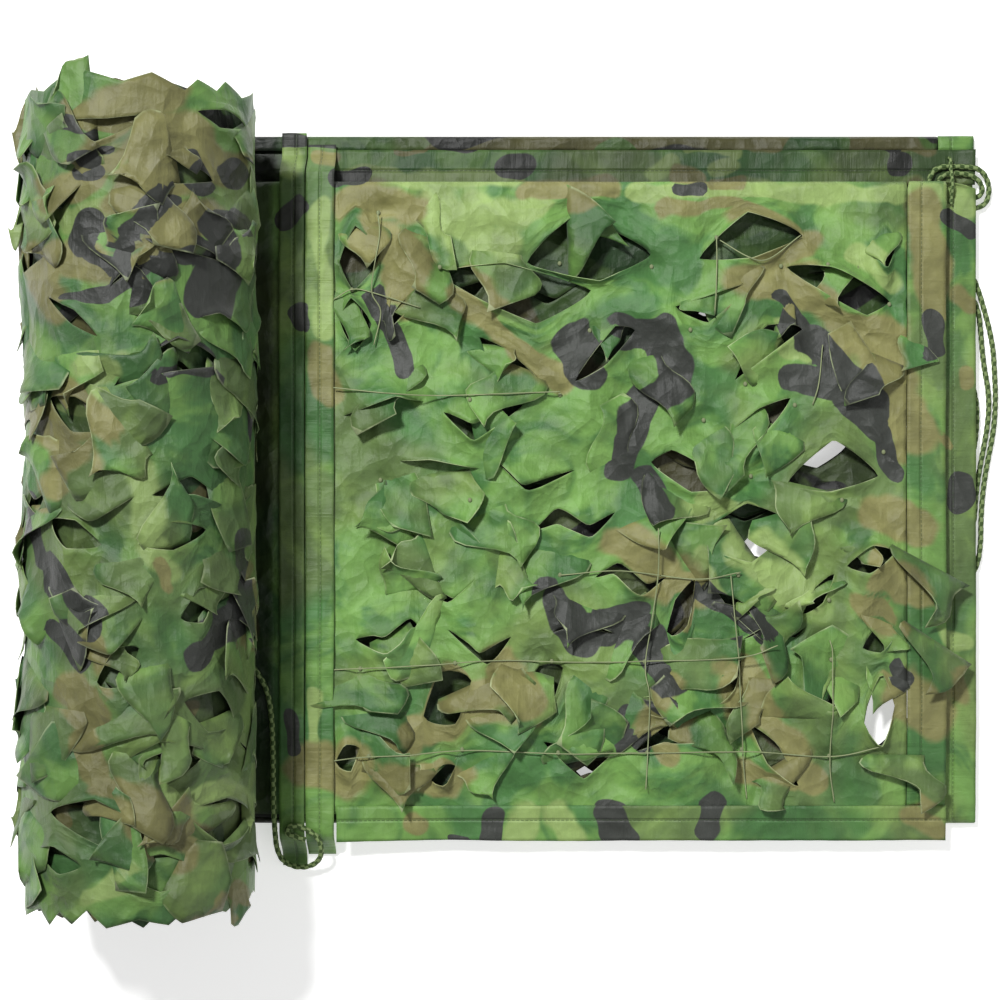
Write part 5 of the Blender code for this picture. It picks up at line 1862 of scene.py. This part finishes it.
class NET_OT_run(bpy.types.Operator):
    """Cut, open and lift the leaves of the run's three layers"""

    bl_idname = "net.build_run"
    bl_label = "Run"

    def execute(self, context):
        sizes, stage = context.scene.net_sizes, context.scene.net_stage
        cloth = shared_materials(context.scene.net_colours)["leaf cloth"]
        plans = {name: run_plan(name, stage) for name in RUN_LAYERS}
        area = {
            "u": (LEAF_START + 0.012, TOP_CLOTH_END - 0.006), "over_tape": 0.030,
            "v": (FRONT_TAPE_Y[1] - 0.003, TOP_FOLD_Y - 0.012),
        }
        loose = leaf_coat(
            random.Random(stage.seed + 53), plans["run_top"], area, {"u": 0.057, "v": 0.037},
            sizes.lift, self.style)
        # The loose leaves are darkened a little by painted shade.
        tongues = build_tongues(
            "run_tongues", loose, run_place(plans["run_top"]),
            lambda places: np.ones(len(places)), 0.94, stage, sizes, cloth, ["net_run"])
        for name, plan in plans.items():
            build_leaf_sheet(
                name, plan, run_place(plan), stage, cloth, ["net_run"],
                sizes.lift * plan["lift"], sizes.cloth)
        return {"FINISHED"}

    def style(self, u, v):
        """Chance of a loose leaf at a place, and the weights of its forms."""
        if v < 0.02:
            return 0.62, (0.42, 0.36, 0.22)
        return 0.50, (0.12, 0.30, 0.58)


class NET_OT_roll(bpy.types.Operator):
    """Wind the leaf-cut cloth, with its ragged ends and inner turns"""

    bl_idname = "net.build_roll"
    bl_label = "Roll"

    def execute(self, context):
        sizes, stage = context.scene.net_sizes, context.scene.net_stage
        cloth = shared_materials(context.scene.net_colours)["leaf cloth"]
        # The shade of each turn darkens its colour: painted shade, some on the outer turn and more on the
        # turn beneath it, which lies in the outer turn's shade.
        turns = [
            {
                "name": "roll_outer_turn", "inset": 0.0, "lift": sizes.roll_lift,
                "mottle_and_painted_shade": 0.66, "seed": 31,
            },
            {
                "name": "roll_under_turn", "inset": UNDER_TURN_INSET, "lift": 0.3 * sizes.roll_lift,
                "mottle_and_painted_shade": 0.36, "seed": 37,
            },
        ]
        plans = [roll_plan(turn["inset"], turn["mottle_and_painted_shade"], turn["seed"], stage) for turn in turns]
        area = {"u": (0.075, 0.595), "v": (-ROLL_HALF - 0.001, ROLL_HALF - 0.006)}
        loose = leaf_coat(
            random.Random(stage.seed + 59), plans[0], area, {"u": 0.056, "v": 0.034},
            sizes.roll_lift, lambda u, v: (0.80, (0.38, 0.42, 0.20)))
        # The roll's loose leaves get painted shade, as the wound cloth does.
        tongues = build_tongues(
            "roll_tongues", loose + side_tongues(), roll_places(0.0),
            laid_on_roll, 0.72, stage, sizes, cloth, ["net_roll"])
        for turn, plan in zip(turns, plans):
            build_leaf_sheet(
                turn["name"], plan, roll_places(turn["inset"]), stage, cloth, ["net_roll"],
                turn["lift"], sizes.cloth)
        for side, name in ((1, "roll_turns_back"), (-1, "roll_turns_front")):
            build_turn_ends(name, side, cloth, stage, sizes)
        return {"FINISHED"}


class NET_OT_tapes(bpy.types.Operator):
    """Sew on the tapes of the edges and of the crosswise seam"""

    bl_idname = "net.build_tapes"
    bl_label = "Tapes"

    def execute(self, context):
        sizes, stage = context.scene.net_sizes, context.scene.net_stage
        cloth = shared_materials(context.scene.net_colours)["tape cloth"]
        # Each tape's shade darkens its colour: painted shade, most on the back tape, which lies low in the
        # shade of the fold.
        tapes = named_rows(("name", "rows", "lay", "mottle_and_painted_shade"), [
            ("tape_front", 200, lay_front_tape, 1.0),
            ("tape_back", 210, lay_back_tape, 0.36),
            ("tape_end", 560, lay_end_tape, 0.92),
            ("seam_tape_left", 220, lay_seam_tape("seam_tape_left"), 0.72),
            ("seam_tape_right", 210, lay_seam_tape("seam_tape_right"), 0.95),
        ])
        for entry in tapes:
            name = "sewn_" + entry["name"]
            mesh, flat = tape_mesh(
                name, TAPE_COLUMNS, entry["rows"], entry["lay"], stage, entry["mottle_and_painted_shade"])
            item = add_piece(name, mesh, cloth, [entry["name"]])
            give_thickness(item, sizes.tape)
        return {"FINISHED"}


class NET_OT_twine(bpy.types.Operator):
    """Stretch the square twine net over the cloth, with its knots"""

    bl_idname = "net.build_twine"
    bl_label = "Twine"

    def execute(self, context):
        sizes, stage = context.scene.net_sizes, context.scene.net_stage
        twine = shared_materials(context.scene.net_colours)["net twine"]
        depsgraph = context.evaluated_depsgraph_get()
        surfaces = [
            BVHTree.FromObject(bpy.data.objects[name], depsgraph)
            for name in ("run_top", "run_tongues", "sewn_tape_front", "run_middle", "run_low")
        ]
        from_pixel = run_from_pixel(stage)
        work = bmesh.new()
        for line in TWINE_LINES:
            route = smooth_route([(*from_pixel(*point), 0.03) for point in line], 0.004)
            heights = self.taut([self.height_over(surfaces, place) for place in route])
            route = [Vector((place.x, place.y, z)) for place, z in zip(route, heights)]
            mesh = tube_mesh("line", route, sizes.twine / 2, 6, 0.1, sizes.twine * 3)
            work.from_mesh(mesh)
            bpy.data.meshes.remove(mesh)
        for place in TIES:
            x, y = from_pixel(*place)
            height = self.height_over(surfaces, Vector((x, y, 0)))
            knot = Matrix.Translation((x, y, height)) @ Matrix.Diagonal((1.0, 1.2, 0.7, 1.0))
            bmesh.ops.create_icosphere(work, subdivisions=2, radius=1.5 * sizes.twine, matrix=knot)
        add_piece("twine_net", finished_mesh("twine_net", work), twine)
        return {"FINISHED"}

    def height_over(self, surfaces, place):
        """The highest surface under a place, with the twine's own radius."""
        highest = 0.002
        for surface in surfaces:
            hit = surface.ray_cast(Vector((place.x, place.y, 0.3)), Vector((0, 0, -1)))[0]
            if hit is not None:
                highest = max(highest, hit.z)
        return highest + 0.0009

    def taut(self, heights):
        """Pulls a line tight over the high places along it."""
        line = np.array(heights)
        for _ in range(40):
            padded = np.concatenate(([line[0]], line, [line[-1]]))
            line = np.maximum(line, (padded[:-2] + padded[2:]) / 2)
        return line


class NET_PT_panel(bpy.types.Panel):
    """The net's settings and its building steps"""

    bl_idname = "NET_PT_panel"
    bl_label = "Leaf-cut Net"
    bl_space_type = "VIEW_3D"
    bl_region_type = "UI"
    bl_category = "Net"

    def draw(self, context):
        layout = self.layout
        for group in (context.scene.net_sizes, context.scene.net_colours, context.scene.net_stage):
            box = layout.box()
            for name in group.__annotations__:
                box.prop(group, name)
        for step in STEPS:
            layout.operator(step.bl_idname)


STEPS = (NET_OT_stage, NET_OT_ropes, NET_OT_run, NET_OT_roll, NET_OT_tapes, NET_OT_twine)
CLASSES = (NetSizes, NetColours, NetStage, *STEPS, NET_PT_panel)


def register():
    for item in CLASSES:
        bpy.utils.register_class(item)
    bpy.types.Scene.net_sizes = PointerProperty(type=NetSizes)
    bpy.types.Scene.net_colours = PointerProperty(type=NetColours)
    bpy.types.Scene.net_stage = PointerProperty(type=NetStage)


def unregister():
    del bpy.types.Scene.net_stage
    del bpy.types.Scene.net_colours
    del bpy.types.Scene.net_sizes
    for item in reversed(CLASSES):
        bpy.utils.unregister_class(item)


def main():
    register()
    bpy.ops.net.build_stage()
    bpy.ops.net.build_ropes()
    bpy.ops.net.build_run()
    bpy.ops.net.build_roll()
    bpy.ops.net.build_tapes()
    bpy.ops.net.build_twine()


if __name__ == "__main__":
    main()
